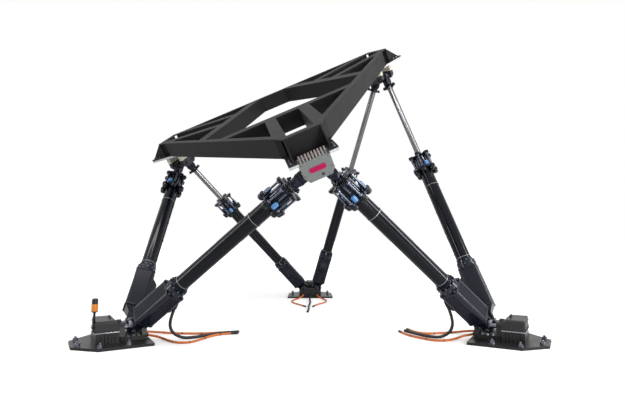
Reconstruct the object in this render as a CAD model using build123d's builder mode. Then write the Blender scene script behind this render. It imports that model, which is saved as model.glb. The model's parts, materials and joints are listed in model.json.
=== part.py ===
from build123d import *
import os
from math import acos, atan2, cos, degrees, hypot, pi, radians, sin, tan

# A six-leg electric motion base: three feet on the floor, six screw-driven legs
# and a triangular top frame, standing in one tilted pose. Millimetres, +Z up,
# origin on the floor midway between the feet, +Y away from the front corner.

# Joint layout
base_joint_radius = 2500.0
base_joint_half_spacing = 128.0
base_joint_height = 183.0
top_joint_radius = 2100.0
top_joint_half_spacing = 90.0
platform_centre = Vector(-296.0, -254.0, 2766.0)
platform_roll = 25.15
platform_pitch = -23.60
platform_yaw = -0.52
foot_azimuths = (90.0, 210.0, 330.0)
corner_azimuths = (30.0, 150.0, 270.0)
# Each leg: foot azimuth, side of that foot, corner azimuth, side of that corner
legs = {
    1: (210.0, -1, 150.0, 1),
    2: (210.0, 1, 270.0, -1),
    3: (330.0, -1, 270.0, 1),
    4: (330.0, 1, 30.0, -1),
    5: (90.0, -1, 30.0, 1),
    6: (90.0, 1, 150.0, -1),
}
tilt_travel = -10.0
travel_steps = 7

# Fits
running_fit = 0.05
side_gap = 0.3

# Feet: kite plates, anchors and joint pedestals
plate_thickness = 30.0
plate_tip = (3151.0, 179.0)
plate_wide = (2897.0, 437.0)
plate_inner = (2306.0, 442.0)
plate_corner_radius = 18.0
anchor_places = {"tip": (3080.0, 150.0), "wide": (2870.0, 360.0), "inner": (2570.0, 355.0)}
anchor_hole_radius = 16.5
washer_radius = 34.0
washer_height = 5.0
nut_bore_radius = 15.0
nut_across_flats = 50.0
nut_height = 26.0
pedestal_half_width = 200.0
pedestal_base_top = base_joint_height - 95.0
ear_inner = 95.0
ear_outer = 150.0
pedestal_hump_radius = 50.0
pedestal_corner_radius = 12.0
weld_depth = 1.0

# Drive cabinets and the signal lamp on the left foot
cabinet_inner = base_joint_radius + ear_outer + 5.0
cabinet_outer = 2905.0
cabinet_half_width = 220.0
cabinet_base_top = 145.0
cabinet_lip_height = 15.0
cabinet_lip_overhang = 10.0
cabinet_lip_corner = 8.0
cabinet_top = 280.0
cabinet_edge_radius = 26.0
cabinet_end_chamfer = 55.0
fin_pitch = 38.0
fin_depth = 12.0
mast_radius = 12.5
lamp_side = 120.0
lens_radius = 35.0
lens_bottom = 390.0
lens_height = 80.0
lamp_cap_radius = 33.0
lamp_cap_height = 60.0
lamp_cap_bevel = 10.0

# Lower universal joints and the clevis of each cylinder
lower_block_half = 48.0
lower_block_corner = 10.0
lower_trunnion_radius = 22.0
lower_trunnion_end = 146.0
lower_shoulder_radius = 30.0
clevis_pin_radius = 20.0
clevis_lug_radius = 45.0
clevis_lug_outer = 76.0
clevis_bridge_start = 76.0
clevis_bridge_end = 106.0
clevis_half_width = 48.0

# Motor housing, collar and tube, by distance s from the lower joint
housing_start = 180.0
housing_foot_inset = 15.0
housing_end = 720.0
housing_half_width = 120.0
housing_corner = 42.0
groove_pitch = 34.0
groove_width = 12.0
groove_depth = 9.0
collar_end = 800.0
collar_radius = 122.0
tube_radius = 90.0
tube_bore = 79.0
tube_end = 2274.0
band_place = 2000.0
band_width = 16.0
band_height = 3.0
cable_box_start = 390.0
cable_box_end = 560.0
cable_box_height = 60.0
cable_box_half_width = 60.0
cable_box_slope = 80.0
elbow_rise = 20.0
elbow_radius = 23.0
elbow_gap = 0.9

# Cables and hoses on the floor: radii and hand-laid routes, ending in plugs
hose_radius = 18.0
cable_radius = 14.0
floor_gap = 0.3
arc_share = 0.45
plug_length = 90.0
plug_neck = 30.0
socket_length = 34.0
plug_wall = 9.0
hose_low = hose_radius + floor_gap
cable_low = cable_radius + floor_gap
socket_height = 62.0
cord_routes = {
    "left_hose": [
        (-1617, -1359, 387), (-1678, -1342, 250), (-1672, -1292, 105), (-1565, -1226, hose_low),
        (-1425, -1205, hose_low), (-1300, -1080, hose_low), (-1170, -970, hose_low), (-1010, -912, hose_low),
    ],
    "left_upper_cable": [
        (-2093, -1058, socket_height), (-1960, -985, 40), (-1780, -930, cable_low), (-1540, -965, cable_low),
        (-1320, -955, cable_low), (-1150, -900, cable_low), (-1010, -862, cable_low),
    ],
    "left_lower_cable": [
        (-1983, -1249, socket_height), (-1885, -1207, 40), (-1765, -1250, cable_low), (-1660, -1370, cable_low),
        (-1540, -1462, cable_low), (-1400, -1440, cable_low), (-1320, -1300, cable_low),
        (-1235, -1110, cable_low), (-1135, -1000, cable_low), (-1010, -965, cable_low),
    ],
    "right_hose": [
        (1628, -1360, 402), (1690, -1340, 260), (1688, -1290, 108), (1590, -1226, hose_low),
        (1450, -1200, hose_low), (1335, -1055, hose_low), (1255, -910, hose_low),
    ],
    "right_upper_cable": [
        (2093, -1058, socket_height), (1965, -975, 40), (1800, -940, cable_low), (1640, -970, cable_low),
        (1500, -1005, cable_low), (1400, -975, cable_low), (1330, -900, cable_low), (1295, -800, cable_low),
    ],
    "right_lower_cable": [
        (1983, -1249, socket_height), (1885, -1207, 40), (1765, -1250, cable_low), (1675, -1335, cable_low),
        (1560, -1390, cable_low), (1435, -1365, cable_low), (1350, -1270, cable_low),
        (1255, -1165, cable_low), (1190, -1040, cable_low), (1160, -930, cable_low),
    ],
    "rear_left_cable": [
        (-130, 2342, socket_height), (-150, 2240, 40), (-260, 2090, cable_low), (-340, 1900, cable_low),
        (-340, 1700, cable_low), (-275, 1540, cable_low), (-190, 1400, cable_low), (-120, 1260, cable_low),
    ],
    "rear_right_cable": [
        (130, 2342, socket_height), (150, 2240, 40), (250, 2090, cable_low), (310, 1900, cable_low),
        (290, 1700, cable_low), (210, 1550, cable_low), (120, 1410, cable_low), (70, 1260, cable_low),
    ],
    "rear_hose": [
        (0, 2342, socket_height), (5, 2200, 42), (-12, 1960, hose_low), (5, 1700, hose_low),
        (-14, 1420, hose_low), (-30, 1150, hose_low), (-27, 900, hose_low), (-40, 719, hose_low),
    ],
}
hose_elbows = {2: "left_hose", 3: "right_hose"}

# Head cage at the upper end of each tube
head_flange_radius = 150.0
head_lobe_circle = 136.0
head_lobe_radius = 46.0
head_flange_height = 26.0
head_plate_start = 2512.0
head_plate_end = 2537.0
head_core_radius = 88.0
head_plate_radius = 108.0
head_plate_lobe_radius = 38.0
tie_bar_radius = 11.0
head_lobes = 6

# Rod, its lobed flange and its fork
rod_radius = 44.0
guide_radius = tube_bore - side_gap
guide_length = 60.0
rod_length = 2040.0
rod_flange_start = 210.0
rod_flange_height = 20.0
rod_flange_radius = 76.0
rod_lobe_circle = 76.0
rod_lobe_radius = 34.0
rod_lobes = 4
rod_neck_radius = 56.0
fork_neck_half_width = 40.0
fork_neck_end = 118.0
fork_lug_outer = 65.0
fork_lug_radius = 38.0
fork_bridge_inner = 74.0

# Upper universal joints
upper_block_half = 42.0
upper_block_corner = 9.0
upper_trunnion_radius = 22.0
upper_trunnion_end = 132.0
upper_shoulder_radius = 28.0
upper_shoulder_end = 80.0
fork_pin_radius = 18.0

# Platform: brackets, adapter plates, front cover and frame, heights above the upper joints
bracket_half_width = 160.0
bracket_inner_radius = 1860.0
bracket_outer_radius = 2268.0
bracket_plate_bottom = 162.0
bracket_plate_top = 187.5
bracket_ear_bottom = -55.0
bracket_ear_margin = 20.0
bracket_corner_radius = 14.0
adapter_top = 217.5
adapter_half_width = 265.0
adapter_outer_radius = 2430.0
adapter_notch_half_width = 165.0
cover_outer_radius = 2400.0
cover_bottom = -20.0
cover_top = 200.0
cover_thickness = 4.0
cover_shoulder = 40.0
cover_taper = 45.0
cover_slot_count = 8
cover_slot_width = 12.0
cover_slot_margin = 26.0
frame_top = 447.0
frame_wall = 12.0
frame_side_distance = 1257.0
frame_side_inner = 1180.0
frame_shoulder = (290.0, 2011.0)
frame_nose = (210.0, 2200.0)
spine_inner = 155.0
spine_outer = 300.0
ring_inner = 780.0
ring_outer = 950.0
frame_ear_thickness = 20.0
frame_ear_overlap = 60.0
gusset_thickness = 12.0
gusset_offset = 198.0
gusset_reach = 2420.0
gusset_top_drop = 7.0
gusset_tip_height = 8.0


# Geometry of the legs
def radial(azimuth):
    return Vector(cos(radians(azimuth)), sin(radians(azimuth)), 0)


def tangent(azimuth):
    return Vector(-sin(radians(azimuth)), cos(radians(azimuth)), 0)


def tilted(direction):
    return direction.rotate(Axis.X, platform_roll).rotate(Axis.Y, platform_pitch).rotate(Axis.Z, platform_yaw)


def turned(direction, axis, angle):
    """A direction turned by an angle in degrees about an axis direction."""
    return direction.rotate(Axis((0, 0, 0), axis), angle)


def turned_point(point, centre, axis, angle):
    return centre + turned(point - centre, axis, angle)


def turn_between(start, end, axis):
    """The signed angle in degrees from start to end, seen along axis."""
    flat_start = start - axis * start.dot(axis)
    flat_end = end - axis * end.dot(axis)
    return degrees(atan2(flat_start.cross(flat_end).dot(axis), flat_start.dot(flat_end)))


platform_normal = tilted(Vector(0, 0, 1))


class Leg:
    """Joint centres, directions and the share of each joint in the tilting motion."""

    def __init__(self, number):
        foot, foot_side, corner, corner_side = legs[number]
        self.number = number
        self.foot, self.corner = foot, corner
        self.base = (
            radial(foot) * base_joint_radius
            + tangent(foot) * (foot_side * base_joint_half_spacing)
            + Vector(0, 0, base_joint_height)
        )
        arm = radial(corner) * top_joint_radius + tangent(corner) * (corner_side * top_joint_half_spacing)
        self.top = platform_centre + tilted(arm)
        self.length = (self.top - self.base).length
        self.direction = (self.top - self.base).normalized()
        self.base_pin = radial(foot)
        self.clevis_pin = self.base_pin.cross(self.direction).normalized()
        self.top_pin = tilted(radial(corner))
        self.fork_pin = self.top_pin.cross(self.direction).normalized()


leg_list = {number: Leg(number) for number in legs}
tilt_origin = (leg_list[1].top + leg_list[6].top) * 0.5
tilt_axis = ((leg_list[2].top + leg_list[3].top) * 0.5 - tilt_origin).normalized()


def joint_shares(leg):
    """Angles in degrees and a slide in mm that a leg makes over the whole tilt travel."""
    top_end = turned_point(leg.top, tilt_origin, tilt_axis, tilt_travel)
    direction_end = (top_end - leg.base).normalized()
    lean = degrees(acos(leg.base_pin.dot(direction_end)) - acos(leg.base_pin.dot(leg.direction)))
    swing = turn_between(leg.direction, direction_end, leg.base_pin)
    slide = (top_end - leg.base).length - leg.length
    fork_end = turned(turned(leg.fork_pin, leg.clevis_pin, lean), leg.base_pin, swing)
    pin_carried = turned(turned(leg.top_pin, leg.clevis_pin, lean), leg.base_pin, swing)
    pin_platform = turned(leg.top_pin, tilt_axis, tilt_travel)
    roll = turn_between(pin_carried, pin_platform, fork_end)
    return {"swing": swing, "lean": lean, "slide": slide, "roll": roll}


def trunnion_drift(leg, reach):
    """Where a point of the upper trunnion wanders in its ear, in platform axes, at each step."""
    share = joint_shares(leg)
    drifts = []
    for step in range(travel_steps):
        part_way = step / (travel_steps - 1)
        lean, swing = share["lean"] * part_way, share["swing"] * part_way

        def carried(vector):
            return turned(turned(vector, leg.clevis_pin, lean), leg.base_pin, swing)

        fork = carried(leg.fork_pin)
        pin = turned(carried(leg.top_pin), fork, share["roll"] * part_way)
        chain_point = leg.base + carried(leg.direction) * (leg.length + share["slide"] * part_way) + pin * reach
        tilt = tilt_travel * part_way
        ear_point = turned_point(leg.top + leg.top_pin * reach, tilt_origin, tilt_axis, tilt)
        drifts.append(turned(chain_point - ear_point, tilt_axis, -tilt))
    return drifts


def ear_pocket(leg, inner_reach, outer_reach):
    """Centre offset and radius of the ear pocket that a drifting trunnion stays inside."""
    side = platform_normal.cross(leg.top_pin)
    flat = [
        (drift.dot(side), drift.dot(platform_normal))
        for reach in (inner_reach, outer_reach)
        for drift in trunnion_drift(leg, reach)
    ]
    middle = [(min(values) + max(values)) / 2 for values in zip(*flat)]
    spread = max(hypot(x - middle[0], y - middle[1]) for x, y in flat)
    return middle, upper_trunnion_radius + spread + side_gap


def foot_plane(azimuth, height=0.0):
    """x outwards, y along the foot, z up."""
    return Plane(origin=(0, 0, height), x_dir=radial(azimuth), z_dir=(0, 0, 1))


def corner_plane(azimuth, height=0.0):
    """x outwards and z square to the tilted platform, at a height above its joints."""
    return Plane(
        origin=platform_centre + platform_normal * height, x_dir=tilted(radial(azimuth)), z_dir=platform_normal
    )


def leg_plane(leg, distance):
    """Square to the leg at a distance from its lower joint, x along the clevis pin."""
    return Plane(origin=leg.base + leg.direction * distance, x_dir=leg.clevis_pin, z_dir=leg.direction)


def rod_plane(leg, distance):
    """Square to the leg at a distance below its upper joint, x along the fork pin."""
    return Plane(origin=leg.top - leg.direction * distance, x_dir=leg.fork_pin, z_dir=leg.direction)


def mirrored(points):
    """A closed outline from its half on the +y side."""
    return points + [(x, -y) for x, y in reversed(points)]


def add_pin(centre, direction, start, end, radius):
    """A round pin along a direction, added to the part being built."""
    with BuildSketch(Plane(origin=centre + direction * start, z_dir=direction)) as section:
        Circle(radius)
    extrude(section.sketch, amount=end - start)


def cut_bore(centre, direction, start, end, radius):
    with BuildSketch(Plane(origin=centre + direction * start, z_dir=direction)) as section:
        Circle(radius)
    extrude(section.sketch, amount=end - start, mode=Mode.SUBTRACT)


# Feet
def make_foot_plate(azimuth):
    with BuildPart() as foot_plate:
        with BuildSketch(foot_plane(azimuth)):
            with BuildLine():
                Polyline(mirrored([plate_tip, plate_wide, plate_inner]), close=True)
            make_face()
            fillet(vertices(), plate_corner_radius)
            with Locations([(r, side * t) for r, t in anchor_places.values() for side in (-1, 1)]):
                Circle(anchor_hole_radius, mode=Mode.SUBTRACT)
        extrude(amount=plate_thickness)
    return foot_plate.part


def make_pedestal(azimuth):
    with BuildPart() as pedestal:
        with BuildSketch(foot_plane(azimuth, plate_thickness)):
            with Locations((base_joint_radius, 0)):
                RectangleRounded(2 * ear_outer, 2 * pedestal_half_width, pedestal_corner_radius)
        extrude(amount=pedestal_base_top - plate_thickness)
        for start in (-ear_outer, ear_inner):
            wall = Plane(
                origin=radial(azimuth) * (base_joint_radius + start), x_dir=tangent(azimuth), z_dir=radial(azimuth)
            )
            with BuildSketch(wall):
                with BuildLine():
                    Polyline(
                        (-pedestal_half_width, pedestal_base_top - weld_depth),
                        (pedestal_half_width, pedestal_base_top - weld_depth),
                        (base_joint_half_spacing + pedestal_hump_radius, base_joint_height),
                        (-base_joint_half_spacing - pedestal_hump_radius, base_joint_height),
                        close=True,
                    )
                make_face()
                with Locations(
                    (-base_joint_half_spacing, base_joint_height), (base_joint_half_spacing, base_joint_height)
                ):
                    Circle(pedestal_hump_radius)
                    Circle(lower_trunnion_radius + running_fit, mode=Mode.SUBTRACT)
            extrude(amount=ear_outer - ear_inner)
    return pedestal.part


def make_cabinet_base(azimuth):
    """The lower half of a drive cabinet, its long sides cut into cooling fins."""
    length = cabinet_outer - cabinet_inner
    centre = (cabinet_outer + cabinet_inner) / 2
    fins = int((length - fin_pitch) / fin_pitch)
    with BuildPart() as cabinet_base:
        with BuildSketch(foot_plane(azimuth, plate_thickness)):
            with Locations((centre, 0)):
                Rectangle(length, 2 * cabinet_half_width)
            for side in (-1, 1):
                with Locations((centre, side * cabinet_half_width)):
                    with GridLocations(fin_pitch, 1, fins, 1):
                        Rectangle(fin_pitch / 2, 2 * fin_depth, mode=Mode.SUBTRACT)
        extrude(amount=cabinet_base_top - plate_thickness)
        with BuildSketch(foot_plane(azimuth, cabinet_base_top)):
            with Locations((centre + cabinet_lip_overhang / 2, 0)):
                RectangleRounded(
                    length + cabinet_lip_overhang,
                    2 * (cabinet_half_width + cabinet_lip_overhang),
                    cabinet_lip_corner,
                )
        extrude(amount=cabinet_lip_height)
    return cabinet_base.part


def make_cabinet_cover(azimuth):
    """The hood of a drive cabinet: rounded shoulders and a sloping inner end."""
    bottom = cabinet_base_top + cabinet_lip_height
    width = 2 * cabinet_half_width
    profile = Plane(
        origin=tangent(azimuth) * -cabinet_half_width, x_dir=radial(azimuth), z_dir=-tangent(azimuth)
    )
    with BuildPart() as cabinet_cover:
        with BuildSketch(profile):
            with BuildLine():
                Polyline(
                    (cabinet_inner, bottom),
                    (cabinet_outer, bottom),
                    (cabinet_outer, cabinet_top),
                    (cabinet_inner + cabinet_end_chamfer, cabinet_top),
                    (cabinet_inner, cabinet_top - cabinet_end_chamfer),
                    close=True,
                )
            make_face()
        extrude(amount=-width)
        top_edges = cabinet_cover.faces().sort_by(Axis.Z)[-1].edges()
        fillet(top_edges.filter_by(lambda edge: abs((edge % 0.5).dot(radial(azimuth))) > 0.99), cabinet_edge_radius)
    return cabinet_cover.part


def make_anchor_nut(azimuth, place):
    with BuildPart() as anchor_nut:
        with BuildSketch(foot_plane(azimuth, plate_thickness)):
            with Locations(place):
                Circle(washer_radius)
                Circle(nut_bore_radius, mode=Mode.SUBTRACT)
        extrude(amount=washer_height)
        with BuildSketch(foot_plane(azimuth, plate_thickness + washer_height)):
            with Locations(place):
                RegularPolygon(nut_across_flats / 2, 6, major_radius=False)
                Circle(nut_bore_radius, mode=Mode.SUBTRACT)
        extrude(amount=nut_height)
    return anchor_nut.part


def make_lamp_piece(radius, bottom, height, bevel=0.0):
    """A round piece of the signal lamp, whose mast stands against the left cabinet."""
    with BuildPart() as lamp_piece:
        with BuildSketch(foot_plane(210.0, bottom)):
            with Locations((cabinet_outer + mast_radius + side_gap, lamp_side)):
                Circle(radius)
        extrude(amount=height)
        if bevel:
            chamfer(lamp_piece.faces().sort_by(Axis.Z)[-1].edges(), bevel)
    return lamp_piece.part


# Cables and hoses
def route_path(points):
    """Straight runs with an arc at each corner as large as its two runs allow, and the arcs' radii."""
    radii = []
    for before, point, after in zip(points, points[1:], points[2:]):
        shorter = min((point - before).length, (after - point).length)
        turn = radians((point - before).get_angle(after - point))
        radii.append(arc_share * shorter / tan(turn / 2))
    return FilletPolyline(*points, radius=radii), radii


def make_cord(name):
    points = [Vector(*point) for point in cord_routes[name]]
    radius = hose_radius if "hose" in name else cable_radius
    with BuildPart() as cord:
        with BuildLine():
            path, radii = route_path(points)
        with BuildSketch(Plane(origin=path @ 0, z_dir=path % 0)):
            Circle(radius)
        sweep(path=path)
    share = cord.part.volume / (pi * radius**2 * path.length)
    print(f"{name}: length {path.length:.0f}, tightest arc {min(radii) / radius / 2:.1f} diameters, "
          f"volume over section times length {share:.4f}")
    return cord.part


def make_plug(name):
    """The plug on the floor end of a cable or hose, level with it."""
    start, end = [Vector(*point) for point in cord_routes[name][-2:]]
    radius = hose_radius if "hose" in name else cable_radius
    along = (end - start).normalized()
    with BuildPart() as plug:
        add_pin(end, along, 0, plug_length, radius)
        add_pin(end, along, plug_neck, plug_length, radius + floor_gap)
    return plug.part


def make_socket(name):
    """The gland on the pedestal that a floor cable leaves from."""
    start, towards = [Vector(*point) for point in cord_routes[name][:2]]
    radius = hose_radius if "hose" in name else cable_radius
    azimuth = {"left": 210.0, "right": 330.0, "rear": 90.0}[name.split("_")[0]]
    wall = base_joint_radius - ear_outer
    inward = -radial(azimuth)
    with BuildPart() as socket:
        at_wall = start.dot(radial(azimuth)) - wall
        add_pin(start, inward, at_wall, at_wall + socket_length, radius + plug_wall)
        cut_bore(start, (towards - start).normalized(), 0, 2 * socket_length, radius + side_gap)
    return socket.part


# Legs
def make_lower_cross(leg):
    """Square block with trunnions for the pedestal ears and pins for the clevis."""
    with BuildPart() as lower_cross:
        frame = Plane(origin=leg.base, x_dir=leg.base_pin, z_dir=leg.base_pin.cross(leg.clevis_pin))
        with BuildSketch(frame.offset(-lower_block_half)):
            RectangleRounded(2 * lower_block_half, 2 * lower_block_half, lower_block_corner)
        extrude(amount=2 * lower_block_half)
        for side in (-1, 1):
            along = leg.base_pin * side
            add_pin(leg.base, along, lower_block_half - weld_depth, ear_inner - side_gap, lower_shoulder_radius)
            add_pin(leg.base, along, ear_inner - weld_depth, lower_trunnion_end, lower_trunnion_radius)
            clevis_along = leg.clevis_pin * side
            add_pin(leg.base, clevis_along, lower_block_half - weld_depth, clevis_lug_outer, clevis_pin_radius)
    return lower_cross.part


def grooved_outline(half, depth):
    """Half-width of the extruded housing with its cooling grooves cut from three sides."""
    Rectangle(2 * half, 2 * half)
    fillet(vertices(), housing_corner)
    count = int(2 * (half - housing_corner) / groove_pitch)
    for angle in (0, 90, 180):
        with PolarLocations(half, 1, start_angle=angle):
            with GridLocations(1, groove_pitch, 1, count):
                Rectangle(2 * depth, groove_width, mode=Mode.SUBTRACT)


def make_clevis(leg):
    """Clevis bolted under the motor housing: two lugs on a bridge plate."""
    with BuildPart() as clevis:
        lug_width = clevis_lug_outer - lower_block_half - side_gap
        for side in (-1, 1):
            start = leg.base + leg.clevis_pin * (side * (lower_block_half + side_gap))
            with BuildSketch(Plane(origin=start, x_dir=leg.direction, z_dir=leg.clevis_pin * side)):
                Circle(clevis_lug_radius)
                with Locations((clevis_bridge_end / 2, 0)):
                    Rectangle(clevis_bridge_end, 2 * clevis_lug_radius)
                Circle(clevis_pin_radius + running_fit, mode=Mode.SUBTRACT)
            extrude(amount=lug_width)
        with BuildSketch(leg_plane(leg, clevis_bridge_start)):
            Rectangle(2 * clevis_lug_outer, 2 * clevis_half_width)
        extrude(amount=clevis_bridge_end - clevis_bridge_start)
    return clevis.part


def make_motor_housing(leg):
    """Tapered foot, grooved motor housing with its cable box, and the clamping collar."""
    with BuildPart() as motor_housing:
        with BuildSketch(leg_plane(leg, clevis_bridge_end)):
            Rectangle(2 * clevis_lug_outer, 2 * clevis_half_width)
        with BuildSketch(leg_plane(leg, housing_start)):
            foot_half = housing_half_width - housing_foot_inset
            Rectangle(2 * foot_half, 2 * foot_half)
        loft()
        with BuildSketch(leg_plane(leg, housing_start)):
            grooved_outline(housing_half_width, groove_depth)
        extrude(amount=housing_end - housing_start)
        with BuildSketch(leg_plane(leg, housing_end)):
            Circle(collar_radius)
        extrude(amount=collar_end - housing_end)
        cut_bore(leg.base, leg.direction, housing_end, collar_end, tube_radius)
        box_profile = Plane(
            origin=leg.base - leg.clevis_pin * cable_box_half_width,
            x_dir=leg.direction,
            z_dir=leg.clevis_pin,
        )
        with BuildSketch(box_profile):
            seat = housing_half_width - weld_depth
            lid = housing_half_width + cable_box_height
            with BuildLine():
                Polyline(
                    (cable_box_start, seat),
                    (cable_box_end + cable_box_slope, seat),
                    (cable_box_end, lid),
                    (cable_box_start + cable_box_slope / 2, lid),
                    close=True,
                )
            make_face()
        extrude(amount=2 * cable_box_half_width)
        if leg.number in hose_elbows:
            hose_end, hose_next = [Vector(*point) for point in cord_routes[hose_elbows[leg.number]][:2]]
            down = (hose_next - hose_end).normalized()
            outward = leg.clevis_pin.cross(leg.direction)
            stem_end = lid + elbow_rise
            nose = ((hose_end - leg.base).dot(outward) - stem_end) / down.dot(outward)
            corner = hose_end - down * nose
            add_pin(corner, outward, -elbow_rise - weld_depth, 0, elbow_radius)
            add_pin(corner, down, 0, nose - elbow_gap, elbow_radius)
            with Locations(corner):
                Sphere(elbow_radius)
    return motor_housing.part


def make_tube(leg):
    """Outer tube with the band that marks its upper part."""
    with BuildPart() as tube:
        with BuildSketch(leg_plane(leg, housing_end)):
            Circle(tube_radius)
            Circle(tube_bore, mode=Mode.SUBTRACT)
        extrude(amount=tube_end - housing_end)
        with BuildSketch(leg_plane(leg, band_place)):
            Circle(tube_radius + band_height)
            Circle(tube_radius - weld_depth, mode=Mode.SUBTRACT)
        extrude(amount=band_width)
    return tube.part


def lobed_outline(body_radius, lobe_circle, lobe_radius, bore_radius, lobes):
    """A round flange with bolting lobes around its rim."""
    Circle(body_radius)
    with PolarLocations(lobe_circle, lobes):
        Circle(lobe_radius)
    Circle(bore_radius, mode=Mode.SUBTRACT)


def make_head_cage(leg):
    """Lobed flange on the tube, lobed end plate, and the core and tie bars between them."""
    rod_clearance = rod_radius + side_gap + running_fit
    with BuildPart() as head_cage:
        with BuildSketch(leg_plane(leg, tube_end)):
            lobed_outline(head_flange_radius, head_lobe_circle, head_lobe_radius, rod_clearance, head_lobes)
        extrude(amount=head_flange_height)
        with BuildSketch(leg_plane(leg, head_plate_start)):
            lobed_outline(
                head_plate_radius, head_lobe_circle, head_plate_lobe_radius, rod_clearance, head_lobes
            )
        extrude(amount=head_plate_end - head_plate_start)
        with BuildSketch(leg_plane(leg, tube_end + head_flange_height)):
            Circle(head_core_radius)
            Circle(rod_clearance, mode=Mode.SUBTRACT)
        extrude(amount=head_plate_start - tube_end - head_flange_height)
        with BuildSketch(leg_plane(leg, tube_end + head_flange_height)):
            with PolarLocations(head_lobe_circle, head_lobes):
                RegularPolygon(tie_bar_radius, 6)
        extrude(amount=head_plate_start - tube_end - head_flange_height)
    return head_cage.part


def make_rod(leg):
    """Guide end inside the tube, the polished rod, its lobed flange and the fork."""
    lug_width = fork_lug_outer - upper_block_half - side_gap
    with BuildPart() as rod:
        with BuildSketch(rod_plane(leg, rod_length)):
            Circle(guide_radius)
        extrude(amount=guide_length)
        with BuildSketch(rod_plane(leg, rod_length - guide_length)):
            Circle(rod_radius)
        extrude(amount=rod_length - guide_length - rod_flange_start - rod_flange_height)
        with BuildSketch(rod_plane(leg, rod_flange_start + rod_flange_height)):
            Circle(rod_flange_radius)
            with PolarLocations(rod_lobe_circle, rod_lobes, start_angle=180 / rod_lobes):
                Circle(rod_lobe_radius)
        extrude(amount=rod_flange_height)
        with BuildSketch(rod_plane(leg, rod_flange_start)):
            Circle(rod_neck_radius)
        with BuildSketch(rod_plane(leg, fork_neck_end)):
            Rectangle(2 * fork_lug_outer, 2 * fork_neck_half_width)
        loft()
        with BuildSketch(rod_plane(leg, fork_neck_end)):
            Rectangle(2 * fork_lug_outer, 2 * fork_lug_radius)
        extrude(amount=fork_neck_end - fork_bridge_inner)
        for side in (-1, 1):
            start = leg.top + leg.fork_pin * (side * (upper_block_half + side_gap))
            with BuildSketch(Plane(origin=start, x_dir=-leg.direction, z_dir=leg.fork_pin * side)):
                Circle(fork_lug_radius)
                with Locations(((fork_bridge_inner + weld_depth) / 2, 0)):
                    Rectangle(fork_bridge_inner + weld_depth, 2 * fork_lug_radius)
                Circle(fork_pin_radius + running_fit, mode=Mode.SUBTRACT)
            extrude(amount=lug_width)
    return rod.part


def make_upper_cross(leg):
    """Square block with trunnions for the bracket ears and pins for the fork."""
    with BuildPart() as upper_cross:
        frame = Plane(origin=leg.top, x_dir=leg.top_pin, z_dir=leg.top_pin.cross(leg.fork_pin))
        with BuildSketch(frame.offset(-upper_block_half)):
            RectangleRounded(2 * upper_block_half, 2 * upper_block_half, upper_block_corner)
        extrude(amount=2 * upper_block_half)
        for side in (-1, 1):
            along = leg.top_pin * side
            add_pin(leg.top, along, upper_block_half - weld_depth, upper_shoulder_end, upper_shoulder_radius)
            add_pin(leg.top, along, upper_shoulder_end - weld_depth, upper_trunnion_end, upper_trunnion_radius)
            fork_along = leg.fork_pin * side
            add_pin(leg.top, fork_along, upper_block_half - weld_depth, fork_lug_outer, fork_pin_radius)
    return upper_cross.part


# Platform
def make_joint_bracket(azimuth):
    """Channel under a corner: a top plate and two ears with the pockets of the upper trunnions."""
    with BuildPart() as joint_bracket:
        with BuildSketch(corner_plane(azimuth, bracket_plate_bottom)):
            with Locations(((bracket_inner_radius + bracket_outer_radius) / 2, 0)):
                RectangleRounded(bracket_outer_radius - bracket_inner_radius, 2 * bracket_half_width, bracket_corner_radius)
        extrude(amount=bracket_plate_top - bracket_plate_bottom)
        for start in (-ear_outer, ear_inner):
            wall = Plane(
                origin=platform_centre + tilted(radial(azimuth)) * (top_joint_radius + start),
                x_dir=tilted(tangent(azimuth)),
                z_dir=tilted(radial(azimuth)),
            )
            with BuildSketch(wall):
                with BuildLine():
                    Polyline(
                        (-bracket_half_width, bracket_plate_bottom + weld_depth),
                        (-bracket_half_width, 0),
                        (-top_joint_half_spacing - bracket_ear_margin, bracket_ear_bottom),
                        (top_joint_half_spacing + bracket_ear_margin, bracket_ear_bottom),
                        (bracket_half_width, 0),
                        (bracket_half_width, bracket_plate_bottom + weld_depth),
                        close=True,
                    )
                make_face()
                for leg in leg_list.values():
                    if leg.corner == azimuth:
                        inner_reach, outer_reach = ear_inner, upper_trunnion_end
                        if start < 0:
                            inner_reach, outer_reach = -ear_inner, -upper_trunnion_end
                        middle, radius = ear_pocket(leg, inner_reach, outer_reach)
                        side = (leg.top - platform_centre).dot(tilted(tangent(azimuth)))
                        with Locations((side + middle[0], middle[1])):
                            Circle(radius, mode=Mode.SUBTRACT)
            extrude(amount=ear_outer - ear_inner)
    return joint_bracket.part


def make_adapter_plate(azimuth):
    with BuildPart() as adapter_plate:
        with BuildSketch(corner_plane(azimuth, bracket_plate_top)):
            with BuildLine():
                Polyline(
                    mirrored(
                        [
                            (bracket_inner_radius, adapter_half_width),
                            (adapter_outer_radius, adapter_half_width),
                            (adapter_outer_radius, adapter_notch_half_width),
                            (bracket_outer_radius, adapter_notch_half_width),
                        ]
                    ),
                    close=True,
                )
            make_face()
        extrude(amount=adapter_top - bracket_plate_top)
    return adapter_plate.part


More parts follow.
